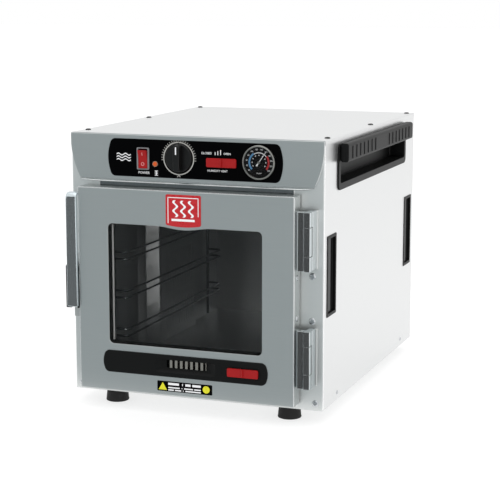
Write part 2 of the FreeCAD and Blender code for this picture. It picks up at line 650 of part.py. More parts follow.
# Inner pan closes the back; the gasket is held on it.
door_inner_pan = cut(
    "door_inner_pan",
    box("inner_sheet", (DOOR_LEFT, f"{FRONT} - 6", "foot_tall + door_low"),
        (f"{DOOR_RIGHT} - {DOOR_LEFT}", "sheet_steel", "door_tall")),
    padded("inner_window", "XZ_Plane", f"-{FRONT}", rounded(
        door_mid, window_mid, dim("window_wide"), dim("window_tall"), dim("window_round")), 10))

# Two glass panes on a spacer frame.
pane_edges = window_outline(dim("glass_lap"))
window_pane_outer = padded("window_pane_outer", "XZ_Plane", f"-{DOOR_FACE} - sheet_steel - glass_thick",
                           pane_edges, "glass_thick")
window_pane_inner = padded("window_pane_inner", "XZ_Plane", f"-{FRONT} + 6", pane_edges, "glass_thick")
window_spacer = cut(
    "window_spacer",
    padded("spacer_block", "XZ_Plane", f"-{FRONT} + 6 + glass_thick", pane_edges,
           "door_thick - 6 - 2 * glass_thick - sheet_steel"),
    padded("spacer_inside", "XZ_Plane", f"-{FRONT}", rounded(
        door_mid, window_mid, dim("window_wide"), dim("window_tall"), dim("window_round")), "door_thick"))

door_gasket = cut(
    "door_gasket",
    box("gasket_outside", (-206, f"{FRONT} - 4.8", "foot_tall + 31"), (412, 4.4, 368)),
    box("gasket_inside", ("-206 + gasket_wide", f"{FRONT} - 6", "foot_tall + 31 + gasket_wide"),
        ("412 - 2 * gasket_wide", 8, "368 - 2 * gasket_wide")))

# Moulded trim along the foot of the door, with a recess for its air grille.
door_trim = cut(
    "door_trim",
    fused("trim_blank",
          padded("trim_plate", "XZ_Plane", f"-{DOOR_FACE}",
                 bowed(door_mid - 0.5, trim_z, dim("trim_wide"), dim("trim_tall"), 6), "trim_thick"),
          box("trim_tub", (f"{recess_x} - recess_wide / 2 - 1.5", DOOR_FACE, trim_z - 13.5),
              ("recess_wide + 3", "recess_deep", 27))),
    box("trim_recess", (f"{recess_x} - recess_wide / 2", f"{DOOR_FACE} - 6", f"{trim_z} - recess_tall / 2"),
        ("recess_wide", "recess_deep + 4", "recess_tall")),
    box("trim_slot", (f"{vent_x} - 4 - door_vent_travel", f"{DOOR_FACE} - 6", vent_z - 4),
        ("8 + door_vent_travel", 12, 8)))
grille_x = recess_x + 2
door_grille = fused(
    "door_grille",
    box("grille_low_rail", (grille_x - 38, f"{DOOR_FACE} + 4", trim_z - 9), (76, "recess_deep - 6", 2)),
    box("grille_high_rail", (grille_x - 38, f"{DOOR_FACE} + 4", trim_z + 7), (76, "recess_deep - 6", 2)),
    *[box(f"grille_slat_{number}", (grille_x - 37 + number * 10.4, f"{DOOR_FACE} + 3", trim_z - 9),
          (2.2, 5, 18)) for number in range(8)])
TRIM_FACE = f"({DOOR_FACE} - trim_thick)"
door_vent_slider = slider("door_vent_slider", (vent_x, vent_z), TRIM_FACE, (61, 16.4),
                          f"({DOOR_FACE} + sheet_steel + 0.4)", (40, 13))

badge_z = foot + dim("badge_low")
badge_half = dim("badge_wide") / 2
badge_top = badge_z + dim("badge_tall")
badge_corners = [Vector(door_mid + badge_half, badge_z, 0), Vector(door_mid + badge_half, badge_top, 0),
                 Vector(door_mid - badge_half, badge_top, 0), Vector(door_mid - badge_half, badge_z, 0)]
badge_edges = [Part.LineSegment(start, end) for start, end in zip(badge_corners, badge_corners[1:])]
badge_edges.append(Part.Arc(badge_corners[3], Vector(door_mid, badge_z - 3.2, 0), badge_corners[0]))
badge_plate = padded("badge_plate", "XZ_Plane", f"-{DOOR_FACE}", badge_edges, 1.2)

# ---- Hinges: square knuckle blocks; the leaf on the door carries the middle one ------------------

pin_x, pin_y = half_body - 21, front - 29
PIN_Y = f"({FRONT} - 29)"
ear = (dim("hinge_tall") - dim("knuckle_tall")) / 2


def knuckle_block(name, x, z, tall):
    """Block round the pin, its front corners rounded off to clear its neighbour."""
    u, v = dim("knuckle_wide") / 2, dim("knuckle_deep") / 2
    shape = Part.makeBox(2 * u, 2 * v, tall, Vector(x - u, pin_y - v, z))
    corners = [edge for edge in shape.Edges if abs(edge.Length - tall) < 1e-6
               and edge.CenterOfMass.y < pin_y]
    return made(name, shape.makeFillet(1.8, corners))


def hinge(name, low):
    """Body leaf and door leaf of one hinge, and its pin, standing on height low."""
    bore = [rod(f"{name}_bore_{part}", (pin_x, PIN_Y, low - 1), f"pin_across / 2 + {SLIP}", "hinge_tall + 2")
            for part in ("body", "door")]
    body_leaf = cut(
        f"hinge_body_leaf_{name}",
        fused(f"{name}_body_blank",
              knuckle_block(f"{name}_ear_low", pin_x, low, ear - 0.4),
              knuckle_block(f"{name}_ear_high", pin_x, low + dim("hinge_tall") - ear + 0.4, ear - 0.4),
              box(f"{name}_arm", (pin_x - 6, f"{PIN_Y} + 7", low), (12, 22, "hinge_tall")),
              box(f"{name}_foot", (pin_x - 6, f"{FRONT} - 3", low), (15.5, 3, "hinge_tall"))),
        box(f"{name}_relief", (pin_x - 8, f"{PIN_Y} - 9", low + ear - 0.4),
            (16, "9 + 9.6", "knuckle_tall + 0.8")),
        bore[0])
    door_leaf = cut(
        f"hinge_door_leaf_{name}",
        fused(f"{name}_door_blank",
              knuckle_block(f"{name}_knuckle", pin_x, low + ear, dim("knuckle_tall")),
              box(f"{name}_web", (pin_x - 10, f"{PIN_Y} - 3", low + ear), (6, 8, "knuckle_tall")),
              box(f"{name}_leaf", (DOOR_RIGHT, f"{PIN_Y} - 4", low),
                  (f"body_wide / 2 - 21 - 9.5 - {DOOR_RIGHT}", 15, "hinge_tall"))),
        bore[1])
    pin = rod(f"{name}_pin", (pin_x, PIN_Y, low + 2), "pin_across / 2", "hinge_tall - 4")
    return body_leaf, door_leaf, pin


hinge_body_leaf_lower, hinge_door_leaf_lower, lower_pin = hinge("lower", foot + 48.3)
hinge_body_leaf_upper, hinge_door_leaf_upper, upper_pin = hinge("upper", foot + 266.5)

# ---- Latch on the free edge of the door -----------------------------------------------------------

latch_x = -half_body + 16.2
latch_pin_y, latch_pin_z = front - 27, foot + 179
lug_half = 5.5
latch_body = cut(
    "latch_body",
    box("latch_block", ("-body_wide / 2 - 1", f"{FRONT} - 34", foot + 166.5), ("latch_wide", 31, 82)),
    box("latch_slot", (latch_x - lug_half - 0.5, f"{FRONT} - 35", foot + 165), (2 * lug_half + 1, 19, 42)),
    rod("latch_bore", ("-body_wide / 2 - 4", latch_pin_y, latch_pin_z), f"latch_pin_across / 2 + {SLIP}",
        40, "x"))
latch_pin = rod("latch_pin", ("-body_wide / 2", latch_pin_y, latch_pin_z), "latch_pin_across / 2",
                "latch_wide - 2", "x")


def lever():
    """Bowed bar up the door's edge: rounded front, top curled back, and a lug round the pin."""
    half = dim("lever_wide") / 2
    back, crown = front - 37, front - dim("latch_proud")
    low, high = foot + 171, foot + 391
    curl = 13
    inner = [Vector(0, back, low + 5), Vector(0, back, high - curl)]
    diagonal = curl * math.sqrt(0.5)
    side = [Part.LineSegment(Vector(0, back - 1, low), Vector(0, crown, low + 3)),
            Part.LineSegment(Vector(0, crown, low + 3), Vector(0, crown, high - curl)),
            Part.Arc(Vector(0, crown, high - curl),
                     Vector(0, crown + curl - diagonal, high - curl + diagonal), Vector(0, crown + curl, high)),
            Part.LineSegment(Vector(0, crown + curl, high), Vector(0, crown + curl + 7, high - 3)),
            Part.LineSegment(Vector(0, crown + curl + 7, high - 3), Vector(0, crown + curl + 5, high - 7)),
            Part.LineSegment(Vector(0, crown + curl + 5, high - 7), inner[1]),
            Part.LineSegment(inner[1], inner[0]),
            Part.LineSegment(inner[0], Vector(0, back - 1, low))]
    profile = Part.Face(Part.Wire([edge.toShape() for edge in side]))
    profile.translate(Vector(latch_x - half, 0, 0))
    bar = profile.extrude(Vector(2 * half, 0, 0))
    edges = [edge for edge in bar.Edges if abs(edge.CenterOfMass.y - crown) < 0.1 and edge.Length > 100]
    bar = bar.makeFillet(6, edges)
    lug = Part.makeBox(2 * lug_half, 14, 16, Vector(latch_x - lug_half, back - 1, latch_pin_z - 3))
    eye = Part.makeCylinder(5.5, 2 * lug_half, Vector(latch_x - lug_half, latch_pin_y, latch_pin_z),
                            Vector(1, 0, 0))
    bore = Part.makeCylinder(dim("latch_pin_across") / 2 + SLIP, 60,
                             Vector(latch_x - 30, latch_pin_y, latch_pin_z), Vector(1, 0, 0))
    return bar.multiFuse([lug, eye]).cut(bore).removeSplitter()


latch_lever = made("latch_lever", lever())
hinge_pins = group("hinge_pins", lower_pin, upper_pin, latch_pin)

# Strike plate: polished, screwed to the face frame behind the latch.
strike_plate = box("strike_plate", ("-body_wide / 2 + 0.4", f"{FRONT} - 2", foot + 143), (25, 2, 125))

# ---- Fasteners -------------------------------------------------------------------------------------


def screw(name, place, head, head_tall, shank, length, along, outward):
    """Low round head and shank; outward is the sense of the head along its axis."""
    axis = Vector(*along)
    start = Vector(*place)
    low, high = head, head * 0.62
    dome = Part.makeCone(low, high, head_tall, start, axis * outward)
    stem = Part.makeCylinder(shank, length, start - axis * outward * length, axis * outward)
    return dome.fuse(stem).removeSplitter()


def screws(name, places, *rest):
    """One node of separate, equal screws."""
    return made(name, Part.makeCompound([screw(name, place, *rest) for place in places]))


top_screws = screws("top_screws", [
    (side * 241, front + y, foot + dim("body_tall")) for side in (-1, 1) for y in (50, 337.5, 625)],
    5.5, 2.2, 2.5, 10, (0, 0, 1), 1)
front_screws = screws("front_screws", [(x, front, foot + z) for x, z in FACE_SCREWS],
                      6, 2.2, 2.2, 8, (0, 1, 0), -1)
side_screws = group("side_screws", *[
    made(f"side_screws_{'left' if side < 0 else 'right'}", Part.makeCompound([
        screw("side", (side * half_body, front + y, foot + 14), 4, 1.6, 2, 8, (1, 0, 0), side)
        for y in (90, 560)])) for side in (-1, 1)])
door_screws = screws("door_screws", [
    (half_body - dim("door_right_gap"), front - DOOR_SCREW_BACK, foot + z) for z in DOOR_SCREW_HEIGHTS],
    5, 1.8, 2, 8, (1, 0, 0), 1)

# ---- Electrics in the top compartment ---------------------------------------------------------------

terminal_block = fused(
    "terminal_block",
    box("terminal_base", (90, f"{FRONT} + 560", f"{ROOF} + 25"), (70, 22, 8)),
    *[box(f"terminal_wall_{number}", (90 + 13.6 * number, f"{FRONT} + 560", f"{ROOF} + 30"), (2, 22, 14))
      for number in range(6)])
INLET_BACK = f"({FRONT} + body_deep)"
power_inlet = fused(
    "power_inlet",
    cut("inlet_shell",
        fused("inlet_blank",
              box("inlet_flange", (139, INLET_BACK, foot + 448), (50, 3, 29)),
              box("inlet_collar", (150.4, f"{INLET_BACK} - 18", foot + 452.4),
                  (27.2, "18 + inlet_proud", 20.2))),
        box("inlet_socket", (152.4, f"{INLET_BACK} - 12", foot + 454.4), (23.2, 40, 16.2))),
    *[box(f"inlet_pin_{number}", (x, f"{INLET_BACK} - 13", foot + z), (2, 7, 4))
      for number, (x, z) in enumerate(((156, 458), (163, 464), (170, 458)))])

# ---- Check and write each sub-part -------------------------------------------------------------------

NODES = [
    front_frame, side_panel_left, side_panel_right, top_panel, back_panel, base_pan, feet, foot_bolts,
    liner_wrap, liner_back, liner_roof, insulation, duct_panel_left, duct_panel_right, fan_baffle,
    rack_left, rack_right, blower_wheel, fan_motor, heating_element,
    console_fascia, control_panel, rocker_housing, power_rocker, pilot_lamp, thermostat_knob,
    thermostat_body, console_vent_slider, gauge_case, gauge_glass, gauge_needle,
    handle_pocket_left, handle_pocket_right, handle_bar_left, handle_bar_right, slot_trims,
    door_skin, door_inner_pan, window_pane_outer, window_pane_inner, window_spacer, door_gasket,
    door_trim, door_grille, door_vent_slider, badge_plate,
    hinge_body_leaf_lower, hinge_door_leaf_lower, hinge_body_leaf_upper, hinge_door_leaf_upper,
    hinge_pins, latch_body, latch_lever, strike_plate,
    top_screws, front_screws, side_screws, door_screws, terminal_block, power_inlet,
]

doc.recompute()
failed = [item.Name for item in doc.Objects if "Invalid" in item.State or "Error" in item.State]
if failed:
    raise SystemExit(f"objects that failed to compute: {failed}")
for node in NODES:
    node.Label = node.Name
    if node.Shape.isNull() or not node.Shape.isValid() or not node.Shape.Solids:
        raise SystemExit(f"{node.Name} has no valid solid")

os.makedirs("parts", exist_ok=True)
whole = FreeCAD.BoundBox()
for node in NODES:
    node.Shape.exportStep(f"parts/{node.Label}.step")
    whole.add(node.Shape.BoundBox)
    spread = node.Shape.BoundBox
    print(f"{node.Label:26s} solids {len(node.Shape.Solids):2d}  volume {node.Shape.Volume:12.1f}  "
          f"x {spread.XMin:8.2f} {spread.XMax:8.2f}  y {spread.YMin:8.2f} {spread.YMax:8.2f}  "
          f"z {spread.ZMin:8.2f} {spread.ZMax:8.2f}")
print(f"{len(NODES)} nodes, whole object", whole)
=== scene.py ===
import math

import bmesh
import bpy
import numpy as np
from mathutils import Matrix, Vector
from mathutils.geometry import delaunay_2d_cdt


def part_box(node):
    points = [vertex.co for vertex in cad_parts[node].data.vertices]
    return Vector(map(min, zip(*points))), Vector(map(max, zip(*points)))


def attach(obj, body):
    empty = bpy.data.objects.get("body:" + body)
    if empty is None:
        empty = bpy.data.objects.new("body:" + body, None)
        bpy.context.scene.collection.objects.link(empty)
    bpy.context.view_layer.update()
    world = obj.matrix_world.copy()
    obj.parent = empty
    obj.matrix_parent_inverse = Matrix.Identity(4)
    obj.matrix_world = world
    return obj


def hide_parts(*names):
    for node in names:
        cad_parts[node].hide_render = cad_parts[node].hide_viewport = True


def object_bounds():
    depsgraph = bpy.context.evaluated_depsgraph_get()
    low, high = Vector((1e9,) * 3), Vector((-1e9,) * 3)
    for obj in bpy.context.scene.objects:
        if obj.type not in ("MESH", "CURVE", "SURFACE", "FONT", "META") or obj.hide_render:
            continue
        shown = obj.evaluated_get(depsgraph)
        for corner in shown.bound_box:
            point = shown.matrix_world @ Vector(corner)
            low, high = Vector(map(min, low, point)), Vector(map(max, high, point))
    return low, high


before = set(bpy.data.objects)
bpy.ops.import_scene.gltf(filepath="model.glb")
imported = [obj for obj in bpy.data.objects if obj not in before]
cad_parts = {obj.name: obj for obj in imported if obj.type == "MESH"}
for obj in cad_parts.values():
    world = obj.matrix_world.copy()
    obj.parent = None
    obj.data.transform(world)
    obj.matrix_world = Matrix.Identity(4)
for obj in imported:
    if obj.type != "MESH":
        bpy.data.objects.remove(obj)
cad_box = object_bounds()

# ---- Casing -----------------------------------------------------------------------------------
# Bent sheets of brushed stainless steel, screwed together round the insulated cavity. The face
# frame closes the front and the two sides run back from its folded edges.

MM = 0.001


def linear(code):
    """Linear colour of an sRGB hex code: ((c + 0.055) / 1.055) ** 2.4, or c / 12.92 in the darks."""
    parts = [int(code[k:k + 2], 16) / 255 for k in (0, 2, 4)]
    return [c / 12.92 if c <= 0.04045 else ((c + 0.055) / 1.055) ** 2.4 for c in parts] + [1.0]


def add(tree, kind, inputs=(), **settings):
    """Adds one node. Its inputs are values or other nodes' outputs; its settings are attributes."""
    node = tree.nodes.new("ShaderNode" + kind)
    for key, value in settings.items():
        setattr(node, key, value)
    for key, value in dict(inputs).items():
        if isinstance(value, bpy.types.NodeSocket):
            tree.links.new(value, node.inputs[key])
        else:
            node.inputs[key].default_value = value
    return node


def finish_of(name, shades, roughness, grain, relief=0.0, stretch=(1, 1, 1), **shader):
    """Material whose colour wanders between two shades and whose roughness wanders between two
    values with one noise: grain is the size of its cells in mm, stretch makes them longer along an
    axis, and relief is the height of the bump in mm."""
    material = bpy.data.materials.new(name)
    material.use_nodes = True
    tree = material.node_tree
    principled = tree.nodes["Principled BSDF"]
    place = add(tree, "TexCoord").outputs["Object"]
    scaled = add(tree, "Mapping", {"Vector": place, "Scale": [1 / s for s in stretch]}).outputs["Vector"]
    noise = add(tree, "TexNoise", {"Vector": scaled, "Scale": 1 / (grain * MM),
                                   "Detail": 3.0}).outputs["Fac"]
    tint = add(tree, "MixRGB", {"Fac": noise, "Color1": linear(shades[0]), "Color2": linear(shades[1])})
    tree.links.new(tint.outputs["Color"], principled.inputs["Base Color"])
    rough = add(tree, "MapRange", {"Value": noise, "From Min": 0.3, "From Max": 0.7,
                                   "To Min": roughness[0], "To Max": roughness[1]})
    tree.links.new(rough.outputs["Result"], principled.inputs["Roughness"])
    if relief:
        bump = add(tree, "Bump", {"Height": noise, "Distance": relief * MM, "Strength": 1.0})
        tree.links.new(bump.outputs["Normal"], principled.inputs["Normal"])
    for socket, value in shader.items():
        principled.inputs[socket.replace("_", " ")].default_value = value
    return material


# Brushed stainless: metal with fine scratches all one way, which spread its reflections. The
# scratches are about 0.1 mm apart on the real sheet; they are drawn 0.6 mm apart so that they show.
# The front sheets, the sides and top, and the face frame are one steel, but its copies differ in
# colour: the front copy is darker, painted shade, and the side, top and frame copies are lighter,
# painted light.
brushed_across_painted_shade = finish_of("brushed_stainless_across_painted_shade", ("c3c7c7", "cbcecd"), (0.30, 0.36), 0.6, 0.004,
                           (90, 1, 1), Metallic=1.0)
brushed_back_painted_light = finish_of("brushed_stainless_front_to_back_painted_light", ("dcdddd", "e2e3e3"), (0.30, 0.36), 0.6,
                         0.004, (1, 90, 1), Metallic=1.0)
brushed_frame_painted_light = finish_of("brushed_stainless_face_frame_painted_light", ("dde0df", "e3e5e4"), (0.28, 0.34), 0.6, 0.004,
                          (90, 1, 1), Metallic=0.80)


def span(node):
    """Lowest and highest corner of a CAD node in mm."""
    low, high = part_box(node)
    return np.array(low) / MM, np.array(high) / MM


XZ, YZ = [0, 2], [1, 2]


def rounded(low, high, radius, steps=5, bow=0.0):
    """Outline of a rectangle from corner low to corner high as a function of its inset: corner k is
    its centre plus r (cos t, sin t) with t over one quarter turn; the two ends can bow outwards by
    bow (1 - v^2), v being the height from -1 to 1."""
    def at(inset=0.0):
        a, b = np.array(low, float) + inset, np.array(high, float) - inset
        r = max(radius - inset, 0.02)
        middle, half = (a + b) / 2, (b - a) / 2
        turn = np.radians(np.linspace(0, 90, steps))
        rises = np.linspace(0, 1, 6)[:-1, None]
        loop = []
        for quarter, (sx, sy) in enumerate(((1, 1), (-1, 1), (-1, -1), (1, -1))):
            angle = turn + quarter * math.pi / 2
            corner = middle + (half - r) * (sx, sy)
            ring = corner + r * np.stack([np.cos(angle), np.sin(angle)], 1)
            side_middle = middle + (half[0] * sx, 0)
            if quarter in (0, 2):
                loop += [side_middle + (ring[0] - side_middle) * rises, ring]
            else:
                loop += [ring, ring[-1] + (side_middle - ring[-1]) * rises[1:]]
        loop = np.concatenate(loop)
        if bow:
            v = (loop[:, 1] - middle[1]) / half[1]
            ends = np.clip((np.abs(loop[:, 0] - middle[0]) - half[0] + 14) / 14, 0, 1)
            loop[:, 0] += np.sign(loop[:, 0] - middle[0]) * bow * (1 - v ** 2) * ends
        return loop
    return at


def centred(x, z, half_x, half_z, radius, steps=5):
    """Rounded rectangle about a middle point, from its two half sides."""
    return rounded((x - half_x, z - half_z), (x + half_x, z + half_z), radius, steps)


def facing(direction, loop, level):
    """Lays a flat loop out in space: front is (x, z) at y = level, side is (y, z) at x = level and
    top is (x, y) at z = level."""
    u, v = loop[:, 0], loop[:, 1]
    w = np.full(len(loop), float(level))
    return np.stack({"front": (u, w, v), "side": (w, u, v), "top": (u, v, w)}[direction], 1)


def skin(rings, closed=(True, True)):
    """Skin over closed rings of equally many points: point j of ring i, its neighbour j + 1 and the
    same two of ring i + 1 make one face; the first and the last ring are each filled by one face."""
    rings = np.array(rings, float)
    rows, count = rings.shape[:2]
    i, j = np.meshgrid(np.arange(rows - 1), np.arange(count), indexing="ij")
    after = (j + 1) % count
    faces = np.stack([i * count + j, i * count + after, (i + 1) * count + after, (i + 1) * count + j], -1)
    faces = faces.reshape(-1, 4).tolist()
    if closed[0]:
        faces.append(list(range(count)))
    if closed[1]:
        faces.append(list(range((rows - 1) * count, rows * count)))
    return rings.reshape(-1, 3), faces


OPEN = (False, False)


def stacked(direction, rings, closed=(True, True)):
    """Skin over flat loops, each laid out at its own level."""
    return skin([facing(direction, loop, level) for loop, level in rings], closed)


def soft_edge(back, front, radius, steps=4, back_radius=0.0):
    """Profile (inset, level) of a block from back to front whose front edge is a quarter round:
    inset r (1 - cos t), level front - r (1 - sin t), towards front whichever way that is."""
    toward = 1 if front > back else -1
    turn = np.radians(np.linspace(0, 90, steps + 1))
    profile = [(back_radius * (1 - math.sin(t)), back + toward * back_radius * (1 - math.cos(t)))
               for t in turn] if back_radius else [(0.0, back)]
    return profile + [(radius * (1 - math.cos(t)), front - toward * radius * (1 - math.sin(t)))
                      for t in turn]


def block(direction, outline, profile, closed=(True, True)):
    """Block: the outline at each inset of the profile, laid at that step's level, its ends filled."""
    return stacked(direction, [(outline(inset), level) for inset, level in profile], closed)


def pierced(direction, outer, holes, level):
    """Flat face between an outer loop and the loops of its holes, at one level."""
    loops = [outer] + list(holes)
    points = [Vector(p) for loop in loops for p in loop]
    starts = np.cumsum([0] + [len(loop) for loop in loops])
    rims = [[int(s) + k for k in range(len(loop))] for s, loop in zip(starts, loops)]
    found = delaunay_2d_cdt(points, [], rims, 2, 1e-5)
    return facing(direction, np.array([tuple(p) for p in found[0]]), level), [list(f) for f in found[2]]


def piece(name, body, material, shells, nodes=(), angle=35):
    """One object of several shells: doubles merged, faces turned outwards, smooth but for edges
    sharper than angle, with the wide faces' normals kept; it rides on a body."""
    points = np.concatenate([np.array(s[0], float) for s in shells]) * MM
    starts = np.cumsum([0] + [len(s[0]) for s in shells])
    faces = [[int(k) + int(start) for k in face] for start, s in zip(starts, shells) for face in s[1]]
    mesh = bpy.data.meshes.new(name)
    mesh.from_pydata(points.tolist(), [], faces)
    work = bmesh.new()
    work.from_mesh(mesh)
    bmesh.ops.remove_doubles(work, verts=work.verts, dist=0.00001)
    bmesh.ops.recalc_face_normals(work, faces=work.faces)
    work.to_mesh(mesh)
    work.free()
    mesh.polygons.foreach_set("use_smooth", np.ones(len(mesh.polygons), bool))
    mesh.set_sharp_from_angle(angle=math.radians(angle))
    mesh.materials.append(material)
    made = bpy.data.objects.new(name, mesh)
    bpy.context.scene.collection.objects.link(made)
    weighted = made.modifiers.new("even_normals", "WEIGHTED_NORMAL")
    weighted.keep_sharp = True
    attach(made, body)
    if nodes:
        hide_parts(*nodes)
    return made


def sheet(direction, outline, holes, back, front, edge):
    """Sheet with holes: rounded front edge outside, square edges inside, both faces pierced."""
    rim = block(direction, outline, soft_edge(back, front, edge), OPEN)
    walls = [stacked(direction, [(hole, back), (hole, front)], OPEN) for hole in holes]
    faces = [pierced(direction, outline(0), holes, back), pierced(direction, outline(edge), holes, front)]
    return [rim, *walls, *faces]


frame_low, frame_high = span("front_frame")
door_low, door_high = span("door_skin")
FACE = frame_low[1]
FOLD = 3.0
opening = rounded((-195, 65), (195, 434), 1.0)(0)
piece("face_frame", "cabinet", brushed_frame_painted_light, sheet("front", rounded(frame_low[XZ], frame_high[XZ], 1.0),
        [opening], FACE + FOLD, FACE, FOLD - 0.4), ["front_frame"])

# The header over the door is a separate strip set back a little behind the frame, with a narrow
# bead down each end. Its steel is coloured darker as painted shade for the recess between the
# fascia's lip and the door; the beads take the lighter side steel as painted highlights.
header_painted_shade_steel = finish_of("header_painted_shade", ("74787a", "7f8385"), (0.20, 0.28), 9.0, Metallic=1.0)
header = rounded((-195.5, 417.5), (195.5, 437.0), 0.5)
piece("header_strip", "cabinet", header_painted_shade_steel,
      [block("front", header, soft_edge(FACE + 1.2, FACE + 0.5, 0.3, 2))], ["front_frame"])
beads = [block("front", rounded((x - 1.1, 418), (x + 1.1, 436.5), 0.9, 4),
               soft_edge(FACE + 0.9, FACE - 0.9, 0.9, 4)) for x in (-194.5, 194.5)]
piece("header_beads", "cabinet", brushed_back_painted_light, beads, (), 50)

# Down the right front corner the fold carries a near-white band: a painted highlight on its bend.
fold_painted_highlight = finish_of("painted_fold_highlight", ("fafbfb", "ffffff"), (0.20, 0.26), 3.0, Metallic=0.85)
corner = rounded((frame_high[0] - 1.1, FACE + 0.4), (frame_high[0] + 0.1, FACE + 4.0), 0.5, 3)
fold_highlight_shells = [block("top", corner, [(0.3, frame_low[2] + 2), (0, frame_low[2] + 3), (0, frame_high[2] - 3),
                               (0.3, frame_high[2] - 2)])]
piece("casing_fold_highlights", "cabinet", fold_painted_highlight, fold_highlight_shells, (), 50)

# The sides are pierced for the handles and for two slot channels each; the top has a short flange
# down each side.
side_low, side_high = span("side_panel_right")
handle_low, handle_high = span("handle_pocket_right")
slots_low, slots_high = span("slot_trims")
slot_places = [(slots_low[1], slots_low[1] + 56), (slots_high[1] - 56, slots_high[1])]
side_holes = [rounded((y0 + 4, slots_low[2] + 4), (y1 - 4, slots_high[2] - 4), 1)(0)
              for y0, y1 in slot_places]
side_holes.append(rounded(handle_low[YZ] + 6, handle_high[YZ] - 6, 6)(0))
for side, name in ((1, "side_panel_right"), (-1, "side_panel_left")):
    panel = sheet("side", rounded((FACE + FOLD, side_low[2]), (side_high[1], side_high[2]), 0.5),
                  side_holes, side * side_low[0], side * side_high[0], 0.3)
    piece("casing_" + name, "cabinet", brushed_back_painted_light, panel, [name])

top_low, top_high = span("top_panel")
top_section = np.array([(top_high[0] - 1.0, top_low[2]), (top_high[0], top_low[2] + 0.4)]
                       + [(top_high[0] - 2.2 * (1 - math.cos(t)), top_high[2] - 2.2 * (1 - math.sin(t)))
                          for t in np.radians(np.linspace(0, 90, 6))])
top_section = np.concatenate([top_section, (top_section * (-1, 1))[::-1],
                              [(-top_high[0] + 1.2, top_high[2] - 1.2),
                               (top_high[0] - 1.2, top_high[2] - 1.2)]])
piece("casing_top", "cabinet", brushed_back_painted_light, [stacked("front",
        [(top_section, top_low[1]), (top_section, top_high[1])])], ["top_panel"])

# ---- Back, base and cavity ---------------------------------------------------------------------
# Plainer sheets: the back panel and the base pan, then the bright liner of the cavity with its air
# ducts, its fan baffle and the chromed wire slides that carry the pans.


def give(material, *nodes):
    """Puts a material on CAD nodes that keep their own shape."""
    for node in nodes:
        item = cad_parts[node]
        if item.material_slots:
            for slot in item.material_slots:
                slot.material = material
        else:
            item.data.materials.append(material)


# Bright annealed steel: a smooth rolled surface with a soft, cloudy gloss.
bright_sheet = finish_of("bright_annealed_liner", ("c0c2c2", "c9cbca"), (0.30, 0.38), 14.0, Metallic=0.8)
give(brushed_across_painted_shade, "back_panel", "base_pan", "door_inner_pan")
give(bright_sheet, "liner_wrap", "liner_back", "liner_roof", "duct_panel_left", "duct_panel_right",
     "fan_baffle", "blower_wheel", "strike_plate", "door_grille")
# Warm-edge spacer between the panes: dull black foam tape.
spacer_tape = finish_of("black_spacer_tape", ("101111", "171818"), (0.6, 0.7), 2.0, Specular_IOR_Level=0.2)
give(spacer_tape, "window_spacer")
# Chromed wire: hard plating that mirrors the dark cavity, with small sparks at its bends.
chromed_wire = finish_of("chromed_wire", ("85878a", "8e9092"), (0.08, 0.13), 5.0, Metallic=1.0)
give(chromed_wire, "rack_left", "rack_right", "foot_bolts", "hinge_pins")
# A bright cover sheet is lapped over the front of the left duct, where pans slide past.
duct_low, duct_high = span("duct_panel_left")
cover = rounded((duct_low[1], duct_low[2] + 0.5), (duct_low[1] + 66, duct_high[2] - 0.5), 0.5)
piece("duct_cover_left", "cabinet", bright_sheet,
      [block("side", cover, [(0, duct_high[0] - 0.3), (0, duct_high[0] + 0.7),
                             (0.3, duct_high[0] + 1.0)])], ())
# Glass wool: pale yellow fibres, soft and without gloss.
wool = finish_of("glass_wool_batt", ("c9bd84", "e6dcae"), (0.9, 1.0), 2.0, 0.6)
give(wool, "insulation")
# Heat-stained sheath of the heating element: steel gone straw brown.
sheath = finish_of("heat_stained_sheath", ("5d5449", "7b6f60"), (0.35, 0.5), 6.0, Metallic=1.0)
give(sheath, "heating_element")
# Moulded black nylon and ABS: near black with a fine spark-eroded grain that dulls its gloss.
black_mould = finish_of("spark_grained_black_moulding", ("0a0b0b", "101111"), (0.40, 0.52), 0.5, 0.02,
                        Specular_IOR_Level=0.16)
give(black_mould, "thermostat_body", "terminal_block", "fan_motor", "power_inlet")

# ---- Feet --------------------------------------------------------------------------------------
# Four tapered feet of moulded black rubber, bolted up through the base pan. Each flares to a small
# bead round the bottom, where it stands on the table.


def circle(x, z, radius, count=48):
    """Outline of a circle as a function of its inset: centre plus (r - inset) (cos t, sin t)."""
    turn = np.linspace(0, 2 * math.pi, count, endpoint=False)

    def at(inset=0.0):
        return np.stack([x + (radius - inset) * np.cos(turn), z + (radius - inset) * np.sin(turn)], 1)
    return at


# Moulded rubber: soft black with a dry, even surface that shows no sharp reflection.
rubber = finish_of("moulded_rubber", ("151515", "1f1f1e"), (0.55, 0.7), 1.2, 0.03, Specular_IOR_Level=0.3)
feet_low, feet_high = span("feet")
foot_radius = 22.5
foot_rise = feet_high[2]
foot_profile = [(13.5, 10.0), (13.5, 0.6), (12.9, 0.0), (2.0, 0.0), (0.6, 0.6), (0.0, 2.0), (0.5, 4.0),
                (1.0, 10.0), (1.9, 18.0), (2.5, foot_rise - 0.05), (2.5, foot_rise)]
feet = [block("top", circle(x, y, foot_radius), foot_profile)
        for x in (feet_low[0] + foot_radius, feet_high[0] - foot_radius)
        for y in (feet_low[1] + foot_radius, feet_high[1] - foot_radius)]
piece("rubber_feet", "cabinet", rubber, feet, ["feet"], 50)
